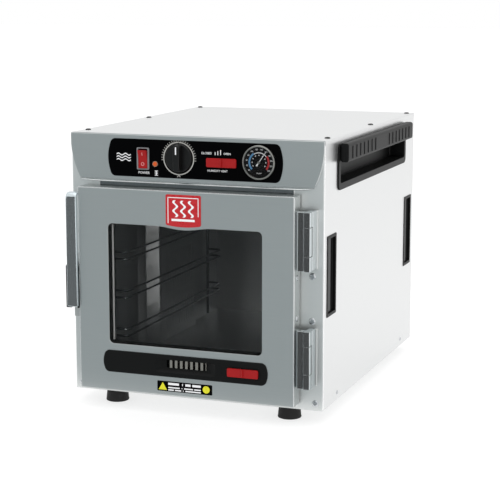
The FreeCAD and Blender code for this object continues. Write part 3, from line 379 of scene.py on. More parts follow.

# ---- Slot channels and carrying handles --------------------------------------------------------
# Two moulded channels in each side, snapped into cut-outs, and a long grab handle above them: a
# hooked bar over a deep moulded pocket, with two groups of ribs for grip.

# A step over the front of each channel's floor is coloured dark grey: painted light for the lit
# part of the floor, against the black of the rest.
slot_step_painted_light = finish_of("slot_step_painted_light_grey", ("3a3b3c", "454647"), (0.45, 0.55), 1.0, 0.01,
                      Specular_IOR_Level=0.3)
slot_inner = 6.0
slot_floor = 246.5
slot_face = slots_high[0]
for side, name in ((1, "right"), (-1, "left")):
    shells = []
    for y0, y1 in slot_places:
        outer = rounded((y0, slots_low[2]), (y1, slots_high[2]), 2.5)
        tub = rounded((y0 + 4.3, slots_low[2] + 4.3), (y1 - 4.3, slots_high[2] - 4.3), 2)
        mouth = rounded((y0 + slot_inner, slots_low[2] + slot_inner),
                        (y1 - slot_inner, slots_high[2] - slot_inner), 1.5)
        rings = [(tub(0), 240), (tub(0), 252), (outer(0), 252), (outer(0), slot_face - 0.5),
                 (outer(0.5), slot_face), (mouth(-0.4), slot_face), (mouth(0), slot_face - 0.4),
                 (mouth(0), slot_floor + 1), (mouth(1), slot_floor)]
        shells.append(stacked("side", [(loop, side * x) for loop, x in rings]))
    piece("slot_channels_" + name, "cabinet", black_mould, shells, ["slot_trims"])
    steps = [block("side", rounded((y0 + slot_inner + 1, slots_low[2] + slot_inner + 1),
                                   (y0 + 0.60 * (y1 - y0), slots_high[2] - slot_inner - 1), 0.8),
                                   [(0, side * (slot_floor - 0.5)), (0, side * (slot_floor + 1.6)),
                                    (0.5, side * (slot_floor + 2.0))]) for y0, y1 in slot_places]
    piece("slot_steps_" + name, "cabinet", slot_step_painted_light, steps, ())

bar_low, bar_high = span("handle_bar_right")
end_depth, bar_round, rib_rise, rib_count = 12.0, 5.0, 1.2, 7
quarter = np.radians(np.linspace(0, 90, 7))
bar_arc = bar_round * np.stack([np.sin(quarter), np.cos(quarter)], 1)
arc_x = bar_high[0] - rib_rise - bar_round
bar_section = np.concatenate([[(bar_low[0], bar_high[2] - 10), (bar_low[0], bar_high[2] - 2),
                               (bar_low[0] + 2, bar_high[2])], bar_arc + (arc_x, bar_high[2] - bar_round),
                               bar_arc[::-1] * (1, -1) + (arc_x, bar_low[2] + bar_round)])
bar_hollow = [(bar_high[0] - 8, bar_low[2] + 1), (bar_high[0] - 8, bar_high[2] - 12),
              (bar_high[0] - 10, bar_high[2] - 10)]
bar_solid = [(bar_low[0] + 3, bar_low[2]), (bar_low[0], bar_low[2] + 3), (bar_low[0], bar_high[2] - 11)]
bar_end = [(0, 1.5, bar_solid), (0.5, 0.6, bar_solid), (1.5, 0, bar_solid), (end_depth, 0, bar_solid),
           (end_depth, 0, bar_hollow)]
bar_stations = [(bar_low[1] + way, inset, inner) for way, inset, inner in bar_end]
bar_stations += [(bar_high[1] - way, inset, inner) for way, inset, inner in bar_end[::-1]]
bar_centre = (bar_low[[0, 2]] + bar_high[[0, 2]]) / 2
rib_pitch = (bar_high[1] - bar_low[1]) * 0.33 / 6
for side, name in ((1, "right"), (-1, "left")):
    rings = []
    for y, inset, inner in bar_stations:
        section = np.concatenate([bar_section, inner])
        rings.append(((section + np.sign(bar_centre - section) * inset) * (side, 1), y))
    shells = [stacked("front", rings)]
    for group_start in (bar_low[1] + 30, bar_high[1] - 30 - rib_pitch * (rib_count - 1)):
        for number in range(rib_count):
            y = group_start + number * rib_pitch
            rib = rounded((y - 4.2, bar_low[2] + 5), (y + 4.2, bar_high[2] - 6), 1.8, 4)
            shells.append(block("side", rib, soft_edge(side * (bar_high[0] - 2), side * bar_high[0], 0.7,
                                                       3)))
    piece("handle_bar_" + name, "cabinet", black_mould, shells, ["handle_bar_" + name])
    outer = rounded(handle_low[YZ], handle_high[YZ], 12)
    tub = rounded((handle_low[1] + 7.5, handle_low[2] + 8), (handle_high[1] - 7.5, handle_high[2] - 6.5), 8)
    mouth = rounded((handle_low[1] + 12, handle_low[2] + 13), (handle_high[1] - 12, handle_high[2] - 9.5),
                    6)
    rings = [(tub(0), handle_low[0]), (tub(0), 252), (outer(0), 252), (outer(0), 253.6),
             (outer(0.4), 254.6), (outer(1.4), 255), (mouth(-1.5), 255), (mouth(-0.4), 254.6),
             (mouth(0), 253.5), (mouth(0.8), handle_low[0] + 5), (mouth(3), handle_low[0] + 3)]
    piece("handle_pocket_shell_" + name, "cabinet", black_mould,
          [stacked("side", [(loop, side * x) for loop, x in rings])], ["handle_pocket_" + name])

# ---- Console -----------------------------------------------------------------------------------
# A pressed stainless fascia, as wide as the cabinet at the top; below, both sides sweep in to a
# rolled lip over the door. A thin black film panel is let into it for the controls.

fascia_high = span("console_fascia")[1]
fascia_face = FACE - 3.0
half_wide = fascia_high[0]
lip_half = half_wide - 18.5
lip_top, sweep_top = 438.8, 503.0


def fascia_outline(inset=0.0):
    """Straight top and upper sides; each lower side is the curve (1-t)^2 a + 2t(1-t) b + t^2 c from the
    end a of the upper side to the end c of the lip, bulging a little outwards; the inset moves it in."""
    a, c = np.array([half_wide - inset, sweep_top]), np.array([lip_half - inset, lip_top + 0.4 + inset])
    b = np.array([half_wide - 2.6 - inset, 469.0])
    t = np.linspace(0, 1, 13)[:, None]
    side = (1 - t) ** 2 * a + 2 * t * (1 - t) * b + t ** 2 * c
    right = np.concatenate([[(half_wide - inset, fascia_high[2] - 1 - inset)], side])
    return np.concatenate([right, (right * (-1, 1))[::-1]])


shell = block("front", fascia_outline, soft_edge(FACE, fascia_face, 1.2))
# The lip: below a narrow crease the sheet rolls out, over and back. Its section is carried from end
# to end, and over the last 27 mm its height shrinks as the root of the distance left.
lip_section = np.array([(0.4, -3.0), (0.4, -0.5), (-0.2, -1.3), (-0.9, -1.3), (-1.5, 0.2), (-2.1, 1.7),
                        (-2.9, 2.7), (-3.7, 3.0), (-4.4, 2.7), (-4.9, 1.8), (-5.0, 0.6), (-5.0, -3.0)])
lip_taper = 27.0
lip_ends = lip_half - lip_taper * np.linspace(0.005, 1, 12) ** 1.5
reach = np.concatenate([-lip_ends, [0.0], lip_ends[::-1]])
fullness = np.clip((lip_half - np.abs(reach)) / lip_taper, 0, 1) ** 0.55
rings = [np.stack([np.full(len(lip_section), x),
                   fascia_face - lip_section[:, 1] * (0.45 + 0.55 * k if k < 1 else 1),
                   lip_top + 0.2 + np.where(lip_section[:, 0] < 0, lip_section[:, 0] * k,
                                            lip_section[:, 0])], 1) for x, k in zip(reach, fullness)]
for ring in rings:
    ring[[0, -1], 1] = FACE
lip = skin(rings)
piece("console_fascia_pressing", "cabinet", brushed_across_painted_shade, [shell], ["console_fascia"], 50)
# The roll takes a glossier steel whose lighter colour is a painted highlight along the roll.
lip_painted_highlight = finish_of("rolled_edge_painted_highlight", ("d2d5d5", "d9dbdb"), (0.14, 0.20), 3.0, Metallic=1.0)
piece("console_rolled_lip", "cabinet", lip_painted_highlight, [lip], ["console_fascia"], 50)

# Control panel: black polyester film, smooth and almost free of reflections, printed on its back.
film = finish_of("black_polyester_film", ("020203", "030304"), (0.34, 0.42), 3.0, Specular_IOR_Level=0.03)
panel_low, panel_high = span("control_panel")
panel_face = panel_low[1]
panel_outline = rounded((-166, panel_low[2]), (166, panel_high[2]), 6.5, 6, 8.0)
piece("control_panel_film", "cabinet", film, [block("front", panel_outline,
        soft_edge(panel_high[1], panel_face, 0.5))], ["control_panel"])


def bar(x, z, wide, tall, face, turn=0.0, proud=0.12):
    """Printed bar: a rectangle about (x, z), turned clockwise by turn degrees, proud of a face."""
    angle = math.radians(turn)
    corners = np.array([(-wide, -tall), (wide, -tall), (wide, tall), (-wide, tall)]) / 2
    spun = corners @ np.array([[math.cos(angle), -math.sin(angle)], [math.sin(angle), math.cos(angle)]])
    return stacked("front", [(spun + (x, z), face), (spun + (x, z), face - proud)])


def band(x, z, inner, outer, start, end, face, proud=0.12, steps=40):
    """Printed band between two radii, from one clock angle to another (degrees right of upright)."""
    turn = np.radians(np.linspace(start, end, steps))
    rim = np.stack([np.sin(turn), np.cos(turn)], 1)
    loop = np.concatenate([rim * outer, (rim * inner)[::-1]]) + (x, z)
    points = np.concatenate([facing("front", loop, face), facing("front", loop, face - proud)])
    count = len(loop)
    faces = [[low + k, low + k + 1, low + count - 2 - k, low + count - 1 - k] for low in (0, count)
             for k in range(steps - 1)]
    faces += [[k, (k + 1) % count, count + (k + 1) % count, count + k] for k in range(count)]
    return points, faces


def ribbon(middle, half, level):
    """Printed ribbon along a line of points, reaching half to either side of it."""
    loop = np.concatenate([middle + half, (middle - half)[::-1]])
    count = len(loop)
    faces = [[k, k + 1, count - 2 - k, count - 1 - k] for k in range(len(middle) - 1)]
    return facing("front", loop, level), faces


def lettering(words, tall, x, z, face, proud=0.12):
    """Plain letters or figures tall mm high, centred on (x, z), made a mesh and stood on a face."""
    curve = bpy.data.curves.new("words", "FONT")
    curve.body, curve.align_x, curve.align_y = words, "CENTER", "CENTER"
    curve.size, curve.resolution_u, curve.offset = 1.0, 2, 0.008
    holder = bpy.data.objects.new("words", curve)
    flat = bpy.data.meshes.new_from_object(holder)
    points = np.zeros(len(flat.vertices) * 3)
    flat.vertices.foreach_get("co", points)
    points = points.reshape(-1, 3)[:, :2] * tall / 0.69
    faces = [list(p.vertices) for p in flat.polygons]
    bpy.data.objects.remove(holder)
    bpy.data.curves.remove(curve)
    bpy.data.meshes.remove(flat)
    return facing("front", points + (x, z), face - proud), faces


# Screen print: opaque white ink, flat and a little chalky.
white_ink = finish_of("white_screen_print", ("e6e8ea", "f4f5f6"), (0.5, 0.65), 0.8)
silver_ink = finish_of("silver_screen_print", ("a9a9a4", "bdbdb8"), (0.4, 0.5), 0.8)
rocker_x, rocker_z = -101.7, 480.25
lamp_x, lamp_z = -77.4, 471.0
knob_x, knob_z = -29.4, 484.0
vent_x, vent_z = 55.0, 478.0
gauge_x, gauge_z = 128.5, 482.0
print_shells = [lettering("POWER", 4.6, -100.3, 453.6, panel_face),
                lettering("CLOSED", 3.9, 25.6, 494.8, panel_face),
                lettering("OPEN", 3.8, 66.2, 494.8, panel_face),
                lettering("HUMIDITY VENT", 3.7, 47.2, 462.8, panel_face)]
print_shells += [bar(42.6 + 5.4 * k, 494.8 + 1.1 * k, 1.4, 5.4 + 2.0 * k, panel_face) for k in range(3)]
print_shells += [bar(lamp_x + 2.2, 454.0 + dz, 6.4, 1.3, panel_face) for dz in (-4.0, 0.0, 4.0)]
print_shells += [bar(lamp_x + 2.2, 454.0 + dz, 1.7, 3.4, panel_face, 30 * turn)
                 for dz, turn in ((-2.0, 1), (2.0, -1))]
# A plain mark of rising warmth stands at the left: three waves, one over the other.
along = np.linspace(-1, 1, 25)
for row in range(3):
    middle = np.stack([-141.5 + 14.5 * along, 487.0 - 5.2 * row + 1.7 * np.sin(along * 2 * math.pi)], 1)
    print_shells.append(ribbon(middle, (0, 0.95), panel_face - 0.12))
piece("panel_print", "cabinet", white_ink, print_shells, (), 30)

scale_shells = [band(knob_x - 0.5, knob_z - 1.0, 29.0, 31.0, 0, 360, panel_face, steps=72)]
scale_shells += [bar(knob_x - 0.5 + 33.2 * math.sin(a), knob_z - 1.0 + 33.3 * math.cos(a), 0.9, 3.4,
                     panel_face, math.degrees(a)) for a in np.radians(np.linspace(-96, 96, 25))]
scale_shells += [bar(knob_x - 0.5 + dx, knob_z - 33.6, 1.5, 5.0, panel_face, turn)
                 for dx, turn in ((-1.5, 32), (1.5, -32))]
piece("knob_scale_print", "cabinet", silver_ink, scale_shells, (), 30)

# ---- Switch and pilot lamp ---------------------------------------------------------------------
# A snap-in rocker switch: a grey nylon bezel round a glossy red rocker, marked with a bar and a
# ring. Beside it is a small amber pilot lamp in a bright rim.

# Satin grey nylon: mid grey with soft highlights along its moulded edges.
grey_mould = finish_of("satin_grey_nylon", ("77797a", "85878a"), (0.35, 0.45), 1.0, 0.01)
# Glossy red polycarbonate: saturated and slightly waxy, with clear highlights on its ridges.
red_mould = finish_of("glossy_red_polycarbonate", ("990b0e", "a40f12"), (0.34, 0.42), 6.0,
                      Specular_IOR_Level=0.25)
bezel_front = span("rocker_housing")[0][1]
bezel = centred(rocker_x, rocker_z, 12.5, 20.75, 2.5)
well = centred(rocker_x, rocker_z, 9.35, 18.4, 1)
rings = [(bezel(0), panel_face + 2), (bezel(0), bezel_front + 1), (bezel(0.3), bezel_front + 0.3),
         (bezel(1), bezel_front), (well(-1), bezel_front), (well(-0.3), bezel_front + 0.3),
         (well(0), bezel_front + 1), (well(0), panel_face + 14)]
piece("rocker_bezel", "cabinet", grey_mould, [stacked("front", rings)], ["rocker_housing"])

pivot_y, pivot_z = panel_face - 0.2, rocker_z
rocker_half, rocker_back, rocker_hollow = 17.4, 3.0, 2.6
along = np.linspace(-1, 1, 17)
front_line = -rocker_back - rocker_hollow * np.abs(along) ** 1.4
tilt = math.radians(8)


def tipped(points):
    """Turns points about the switch's cross pin, lower half inwards."""
    y, z = points[:, 1] - pivot_y, points[:, 2] - pivot_z
    turned = points.copy()
    turned[:, 1] = pivot_y + y * math.cos(tilt) - z * math.sin(tilt)
    turned[:, 2] = pivot_z + y * math.sin(tilt) + z * math.cos(tilt)
    return turned


rings = []
for x, inset in ((-9, 0.9), (-8.6, 0.3), (-8.0, 0), (8.0, 0), (8.6, 0.3), (9, 0.9)):
    z = pivot_z + along * (rocker_half - inset)
    outline = np.concatenate([np.stack([pivot_y + front_line + inset, z], 1),
                              [(pivot_y + 7, pivot_z + 13 - inset), (pivot_y + 7, pivot_z - 13 + inset)]])
    rings.append(tipped(facing("side", outline, rocker_x + x)))
piece("rocker_button", "power_switch", red_mould, [skin(rings)], ["power_rocker"], 45)
mark_shells = [bar(rocker_x, rocker_z + 9.5, 1.1, 6.0, 0),
               band(rocker_x, rocker_z - 9.5, 2.2, 3.3, 0, 360, 0, steps=28)]
marks = []
for points, faces in mark_shells:
    offset = (points[:, 2] - pivot_z) / rocker_half
    surface = pivot_y - rocker_back - rocker_hollow * np.abs(offset) ** 1.4
    points = points.copy()
    points[:, 1] = surface + np.where(points[:, 1] < -0.05, -0.12, 0.05)
    marks.append((tipped(points), faces))
# Pale pink pad print on the red rocker.
pink_ink = finish_of("pale_pad_print", ("d98c8c", "e09a9a"), (0.4, 0.5), 1.0)
piece("rocker_marks", "power_switch", pink_ink, marks, (), 30)

# Amber lens: clear tinted plastic, lit softly from behind by a small lamp.
amber = finish_of("amber_lens", ("c2460a", "d65a12"), (0.15, 0.25), 2.0, Emission_Color=linear("e05a10"),
                  Emission_Strength=0.08)
lens_profile = [(0.9, panel_face + 4), (0.9, panel_face - 1.2), (1.3, panel_face - 1.9),
                (2.4, panel_face - 2.3), (3.6, panel_face - 2.4)]
piece("pilot_lens", "cabinet", amber, [block("front", circle(lamp_x, lamp_z, 5.0, 32), lens_profile)],
      ["pilot_lamp"], 50)
# Brass-toned plated rim round the lens.
rim_plate = finish_of("warm_plated_rim", ("c9a184", "d6b096"), (0.22, 0.30), 2.0, Metallic=0.6)
rim = circle(lamp_x, lamp_z, 5.4, 32)
rings = [(rim(0), panel_face + 0.5), (rim(0), panel_face - 0.6), (rim(0.4), panel_face - 1.1),
         (rim(1.0), panel_face - 1.1), (rim(1.3), panel_face - 0.6), (rim(1.3), panel_face + 0.5)]
piece("pilot_rim", "cabinet", rim_plate, [stacked("front", rings)], (), 50)

# ---- Temperature knob --------------------------------------------------------------------------
# A black phenolic knob pushed on the thermostat's spindle: a low round skirt with a shallow dish,
# and a straight grip bar across it with a white pointer at the top.

knob_front = span("thermostat_knob")[0][1]
knob_mould = finish_of("satin_black_phenolic", ("0a0a0a", "101010"), (0.28, 0.36), 0.8, 0.008,
                       Specular_IOR_Level=0.35)
skirt_face = panel_face - 4.5
skirt_profile = [(0, panel_face - 0.4), (0.1, panel_face - 1.6), (0.9, panel_face - 3.6),
                 (1.7, skirt_face), (3.0, skirt_face), (5.0, skirt_face + 0.8), (13.0, skirt_face + 1.3),
                 (20.0, skirt_face + 1.3)]
grip_half, grip_long = 7.5, 26.0
turn = np.radians(np.linspace(0, 180, 13))
end_top = np.stack([grip_half * np.cos(turn), grip_long - 7.5 + 7.5 * np.sin(turn)], 1)
grip_loop = np.concatenate([end_top, -end_top])
rings = []
for level, narrow in ((skirt_face + 2, 0.0), (panel_face - 8, 0.3), (knob_front + 1.2, 1.2),
                      (knob_front + 0.3, 1.8), (knob_front, 2.8)):
    scale = np.array([(grip_half - narrow) / grip_half, (grip_long - narrow) / grip_long])
    rings.append((grip_loop * scale + (knob_x, knob_z), level))
piece("temperature_knob_moulding", "temperature_knob", knob_mould,
      [block("front", circle(knob_x, knob_z, 27.0, 64), skirt_profile), stacked("front", rings)],
      ["thermostat_knob"], 40)
piece("knob_pointer", "temperature_knob", white_ink,
      [bar(knob_x, knob_z + 14.5, 2.3, 14.0, knob_front, 0, 0.12)], (), 30)

# ---- Vent sliders ------------------------------------------------------------------------------
# Two red sliders, one on the console and one on the door's trim: a thin flat pad with rounded
# ends and a raised ridge across its middle for the finger. Each carries a shutter behind.


def slider(name, body, node, x, z, wide, tall, face):
    """Pad with rounded ends, a bead round it and a half-round ridge across the middle."""
    pad = centred(x, z, wide / 2, tall / 2, 2.6)
    profile = [(0, face - 0.35), (0, face - 2.2), (0.3, face - 2.8), (0.9, face - 3.0), (1.6, face - 2.9),
               (2.2, face - 2.6)]
    ridge_rings = []
    arc = np.radians(np.linspace(0, 180, 9))
    for dz in (-tall / 2 + 1, -tall / 2 + 1.6, tall / 2 - 1.6, tall / 2 - 1):
        low = 0.6 if abs(dz) > tall / 2 - 1.3 else 0.0
        ridge_rings.append(np.stack([x + 1.9 * np.cos(arc), face - 2.4 - (3.6 - low) * np.sin(arc),
                                     np.full(len(arc), z + dz)], 1))
    fin = centred(x, z, 3.5, 3.5, 0.5)
    stem = block("front", fin, [(0, face + 3.0), (0, face - 1.0)])
    piece(name, body, red_mould, [block("front", pad, profile), skin(ridge_rings), stem], [node],
          40)


slider("console_vent_button", "console_vent", "console_vent_slider", vent_x, vent_z, 59.0, 17.0, panel_face)

# ---- Dial thermometer --------------------------------------------------------------------------
# A bimetal dial thermometer: spun steel case with a rolled bezel, a printed black dial with blue,
# white and red ranges, a white needle and a flat glass.

# Spun steel bezel: satin metal turned on a lathe, with soft ring-shaped highlights.
spun = finish_of("spun_satin_steel", ("8f8f8b", "9c9c98"), (0.26, 0.34), 1.5, Metallic=1.0)
dial_black = finish_of("printed_black_dial", ("0a090a", "100f10"), (0.5, 0.6), 1.0, Specular_IOR_Level=0.1)
dial_level = panel_face - 1.0
gauge_profile = [(25, panel_face + 3), (0, panel_face + 0.1), (0, panel_face - 3.4),
                 (0.5, panel_face - 4.9), (1.4, panel_face - 5.8), (2.3, panel_face - 6.0),
                 (3.0, panel_face - 5.7), (3.3, panel_face - 5.0), (3.4, dial_level)]
piece("gauge_bezel", "cabinet", spun, [block("front", circle(gauge_x, gauge_z, 31.75, 72),
                                             gauge_profile)], ["gauge_case"], 50)
piece("gauge_dial", "cabinet", dial_black, [block("front", circle(gauge_x, gauge_z, 28.2, 64),
        [(0, dial_level + 0.2), (0, dial_level - 0.15)])], ())
dial_face = dial_level - 0.15
blue_ink = finish_of("blue_dial_print", ("4a86b4", "5a96c4"), (0.5, 0.6), 1.0)
red_ink = finish_of("red_dial_print", ("b01a20", "bc2226"), (0.5, 0.6), 1.0)
for ink, name, outer, start, end in ((blue_ink, "blue_range", 20.4, -133, -33),
                                     (white_ink, "white_range", 18.4, -33, 52),
                                     (red_ink, "red_range", 20.4, 52, 131)):
    piece("gauge_" + name, "cabinet", ink, [band(gauge_x, gauge_z, 17.0, outer, start, end, dial_face,
                                                 steps=24)], (), 30)
figures = []
for step, angle in enumerate(np.linspace(-128, 128, 12)):
    a = math.radians(angle)
    figures.append(lettering(str(20 * step + 20), 2.6, gauge_x + 24.0 * math.sin(a),
                             gauge_z + 24.0 * math.cos(a), dial_face))
for angle in np.linspace(-120, 120, 9):
    a = math.radians(angle)
    figures.append(bar(gauge_x + 13.2 * math.sin(a), gauge_z + 13.2 * math.cos(a), 1.9, 1.6, dial_face,
                       angle))
figures.append(lettering("DEGREES", 1.7, gauge_x, gauge_z - 20.0, dial_face))
piece("gauge_figures", "cabinet", white_ink, figures, (), 30)

lean = math.radians(35)
hand = np.array([(-0.75, 0), (-0.3, 23), (0.3, 23), (0.75, 0), (1.7, -8), (-1.7, -8)])
hand = np.stack([hand[:, 0] * math.cos(lean) + hand[:, 1] * math.sin(lean),
                 -hand[:, 0] * math.sin(lean) + hand[:, 1] * math.cos(lean)], 1) + (gauge_x, gauge_z)
needle_y = panel_face - 2.6
piece("gauge_hand", "needle", white_ink, [stacked("front", [(hand, needle_y + 0.6), (hand, needle_y)])],
      ["gauge_needle"], 30)
piece("gauge_boss", "needle", spun, [block("front", circle(gauge_x, gauge_z, 2.6, 24),
        soft_edge(needle_y + 0.9, needle_y - 0.5, 0.6, 3))], ())
# Clear glass of the dial: thin, flat and almost invisible but for its gloss.
dial_glass = finish_of("flat_dial_glass", ("060606", "080808"), (0.03, 0.05), 20.0, Alpha=0.10)
give(dial_glass, "gauge_glass")

# ---- Door --------------------------------------------------------------------------------------
# A pressed stainless skin, folded back on all four sides, with a rounded window whose top dips
# below the badge. Two tinted panes on a spacer fill it, and a rubber gasket seals its back.

door_face = door_low[1]
door_mid = (door_low[0] + door_high[0]) / 2
window_low, window_high = np.array([-161.75, 129.25]), np.array([145.25, 359.5])
dip, dip_half = 5.5, 58.0


def window(inset=0.0):
    """Rounded rectangle, grown by a negative inset, whose top edge dips by dip cos^2 within
    dip_half of the middle of the door."""
    loop = rounded(window_low, window_high, 9, 8)(inset)
    fine = np.stack([np.linspace(1, -1, 33)[1:-1] * 60 + door_mid, np.full(31, window_high[1] - inset)], 1)
    top = np.argmax((loop[:, 0] < door_mid) & (loop[:, 1] > window_high[1] - inset - 0.01))
    loop = np.concatenate([loop[:top], fine, loop[top:]])
    near = np.clip((loop[:, 0] - door_mid) / dip_half, -1, 1)
    lowered = np.where(loop[:, 1] > window_high[1] - inset - 0.01, dip * np.cos(near * math.pi / 2) ** 2, 0)
    loop[:, 1] -= lowered
    return loop


door_outline = rounded(door_low[XZ], door_high[XZ], 2.5)
recess_low, recess_high = np.array([-68.25, 82.75]), np.array([53.75, 106.75])
tub_hole = rounded(recess_low - 2, recess_high + 2, 2)(0)
vent_hole = rounded((93, 90), (113, 98), 0.5)(0)
edge = 2.6
shell = block("front", door_outline, soft_edge(door_high[1], door_face, edge), OPEN)
window_edge = [(-0.9, door_face), (-0.35, door_face + 0.25), (0, door_face + 0.8), (0, door_face + 1.2)]
window_wall = block("front", window, window_edge, OPEN)
front = pierced("front", door_outline(edge), [window(-0.9), tub_hole, vent_hole], door_face)
back = pierced("front", door_outline(1.2), [window(0), tub_hole, vent_hole], door_face + 1.2)
walls = [stacked("front", [(hole, door_face), (hole, door_face + 1.2)], OPEN)
         for hole in (tub_hole, vent_hole)]
inside = block("front", door_outline, [(0, door_high[1]), (1.2, door_high[1]), (1.2, door_face + 1.2)],
               OPEN)
piece("door_skin_pressing", "door", brushed_across_painted_shade, [shell, inside, window_wall, front, back, *walls],
      ["door_skin"])

# The door's folds carry the same near-white bands, painted highlights up both sides and along
# the top.
door_fold_highlight_bands = [((door_high[0] - 1.4, door_low[2] + 3), (door_high[0] - 0.1, door_high[2] - 3), 1.2),
              ((door_low[0] + 0.2, door_low[2] + 3), (door_low[0] + 1.0, door_high[2] - 3), 0.9),
              ((door_low[0] + 3, door_high[2] - 1.0), (door_high[0] - 3, door_high[2] - 0.2), 0.9)]
piece("door_fold_highlights", "door", fold_painted_highlight, [block("front", rounded(a, b, 0.4, 3),
        [(0, door_face + 3.4), (0, door_face + deep), (0.3, door_face + deep - 0.4)])
        for a, b, deep in door_fold_highlight_bands], (), 50)

# Tinted float glass: grey through its thickness, polished, so that the cavity shows dim behind it.
tinted = finish_of("grey_tinted_glass", ("0b0c0c", "0e0f0f"), (0.02, 0.04), 40.0, Alpha=0.22)
plain_glass = finish_of("clear_float_glass", ("060707", "090a0a"), (0.02, 0.04), 40.0, Alpha=0.07)
give(tinted, "window_pane_outer")
give(plain_glass, "window_pane_inner")
# A bead holds the panes apart down the free edge; its near-white colour is a painted highlight,
# the bright line down the window's left side.
gap_front, gap_back = span("window_pane_outer")[1][1], span("window_pane_inner")[0][1]
bead_radius = min(1.8, (gap_back - gap_front) / 2 - 0.3)
bead = circle(window_low[0] + 2.5, (gap_front + gap_back) / 2, bead_radius, 24)
pane_bead_painted_highlight_finish = finish_of("pane_bead_painted_highlight", ("f2f2f0", "f8f8f6"), (0.28, 0.34), 3.0, Metallic=0.15)
piece("pane_bead", "door", pane_bead_painted_highlight_finish, [block("top", bead,
        [(0.5, window_low[1] + 4), (0, window_low[1] + 5), (0, window_high[1] - 5),
         (0.5, window_high[1] - 4)])], (), 50)

# Door gasket: soft light grey silicone.
silicone = finish_of("light_grey_silicone", ("a9aba9", "b4b6b4"), (0.55, 0.65), 2.0, 0.02)
give(silicone, "door_gasket")
seal_outer = rounded(door_low[XZ] + 1.0, door_high[XZ] - 1.0, 3)
seal = [(seal_outer(0), door_high[1] - 0.5), (seal_outer(0), FACE - 1.2), (seal_outer(0.8), FACE - 0.5),
        (seal_outer(6), FACE - 0.5), (seal_outer(6), door_high[1] - 0.5),
        (seal_outer(0), door_high[1] - 0.5)]
piece("door_seal_lip", "door", silicone, [stacked("front", seal, OPEN)], (), 50)

# ---- Door trim, grille, badge and notice -------------------------------------------------------
# A long black moulding along the foot of the door. Its middle is scooped out round a steel air
# grille, and the vent's slider runs in a shallow bed at its right.

trim_low, trim_high = span("door_trim")
trim_face = trim_low[1]
trim_outline = rounded((-168.5, trim_low[2]), (151.0, trim_high[2]), 6.0, 6, 6.0)
grille_low, grille_high = span("door_grille")
floor_y = door_face + 12.0
mouth = rounded(recess_low, recess_high, 4, 6)
scoop = rounded((grille_low[0] - 3, recess_low[1] + 7.5), (grille_high[0] + 3, recess_high[1] - 0.5), 2, 6)
rings = [(mouth(-0.6), trim_face), (mouth(-0.1), trim_face + 0.4),
         (mouth(0.6) * 0.75 + scoop(0) * 0.25, trim_face + 2.4),
         (mouth(0.6) * 0.35 + scoop(0) * 0.65, trim_face + 5.5), (scoop(0), trim_face + 7.5),
         (scoop(0), floor_y)]
scooped = stacked("front", rings, (False, True))
vent_centre = (109.0, 94.0)
bed = rounded((vent_centre[0] - 43, vent_centre[1] - 10.4), (vent_centre[0] + 34, vent_centre[1] + 10.4), 3)
plate_profile = [(0.0, door_face)] + soft_edge(trim_high[1], trim_face, 1.6)[1:]
rim = block("front", trim_outline, plate_profile, OPEN)
bed_wall = block("front", bed, [(-0.3, trim_face), (0, trim_face + 0.2), (0.2, trim_face + 0.5)],
                 (False, True))
front = pierced("front", trim_outline(1.6), [mouth(-0.6), bed(-0.3)], trim_face)
piece("door_trim_moulding", "door", black_mould, [rim, front, bed_wall, scooped], ["door_trim"])

# The grille: eight bent steel slats on two rails across the recess.
slat_edges = [(grille_low[0] + 2.7 + 10.4 * k, grille_low[0] + 8.1 + 10.4 * k) for k in range(7)]
slat_edges.append((grille_low[0] + 75.3, grille_high[0] + 1.0))
slats = [block("front", rounded((x0, recess_low[1] + 6.5), (x1, recess_high[1]), 0.8, 4),
               soft_edge(grille_high[1] - 1, grille_low[1] + 2, 0.8, 3)) for x0, x1 in slat_edges]
# Bare rolled steel: warm grey, with a dry satin sheen.
grille_steel = finish_of("bare_steel_grille", ("a8a39b", "b5b0a8"), (0.35, 0.45), 2.0, Metallic=1.0)
piece("air_grille", "door", grille_steel, slats, ["door_grille"])
slider("door_vent_button", "door_vent", "door_vent_slider", vent_centre[0], vent_centre[1], 61.0, 16.4,
       trim_face)

# Badge: a red enamelled plate, arched along its foot, with a plain white mark of rising warmth.
enamel = finish_of("glossy_red_enamel", ("b5121c", "bf1822"), (0.25, 0.32), 12.0)
badge_low, badge_high = span("badge_plate")
badge_sag = 3.2


def badge(inset=0.0):
    """Rounded rectangle whose foot is lowered by badge_sag times (1 - u^2), u being -1 to 1 across it."""
    loop = rounded((badge_low[0], badge_low[2] + badge_sag), (badge_high[0], badge_high[2]), 3)(inset)
    low = loop[:, 1] < badge_low[2] + badge_sag + inset + 0.01
    fine = np.stack([np.linspace(badge_low[0] + 4, badge_high[0] - 4, 21),
                     np.full(21, badge_low[2] + badge_sag + inset)], 1)
    cut = np.argmax((loop[:, 0] > door_mid) & low)
    loop = np.concatenate([loop[:cut], fine, loop[cut:]])
    u = (loop[:, 0] - door_mid) / (badge_high[0] - door_mid)
    height = (badge_high[2] - loop[:, 1]) / (badge_high[2] - badge_low[2] - badge_sag)
    loop[:, 1] -= badge_sag * np.clip(1 - u ** 2, 0, 1) * np.clip(height, 0, 1)
    return loop


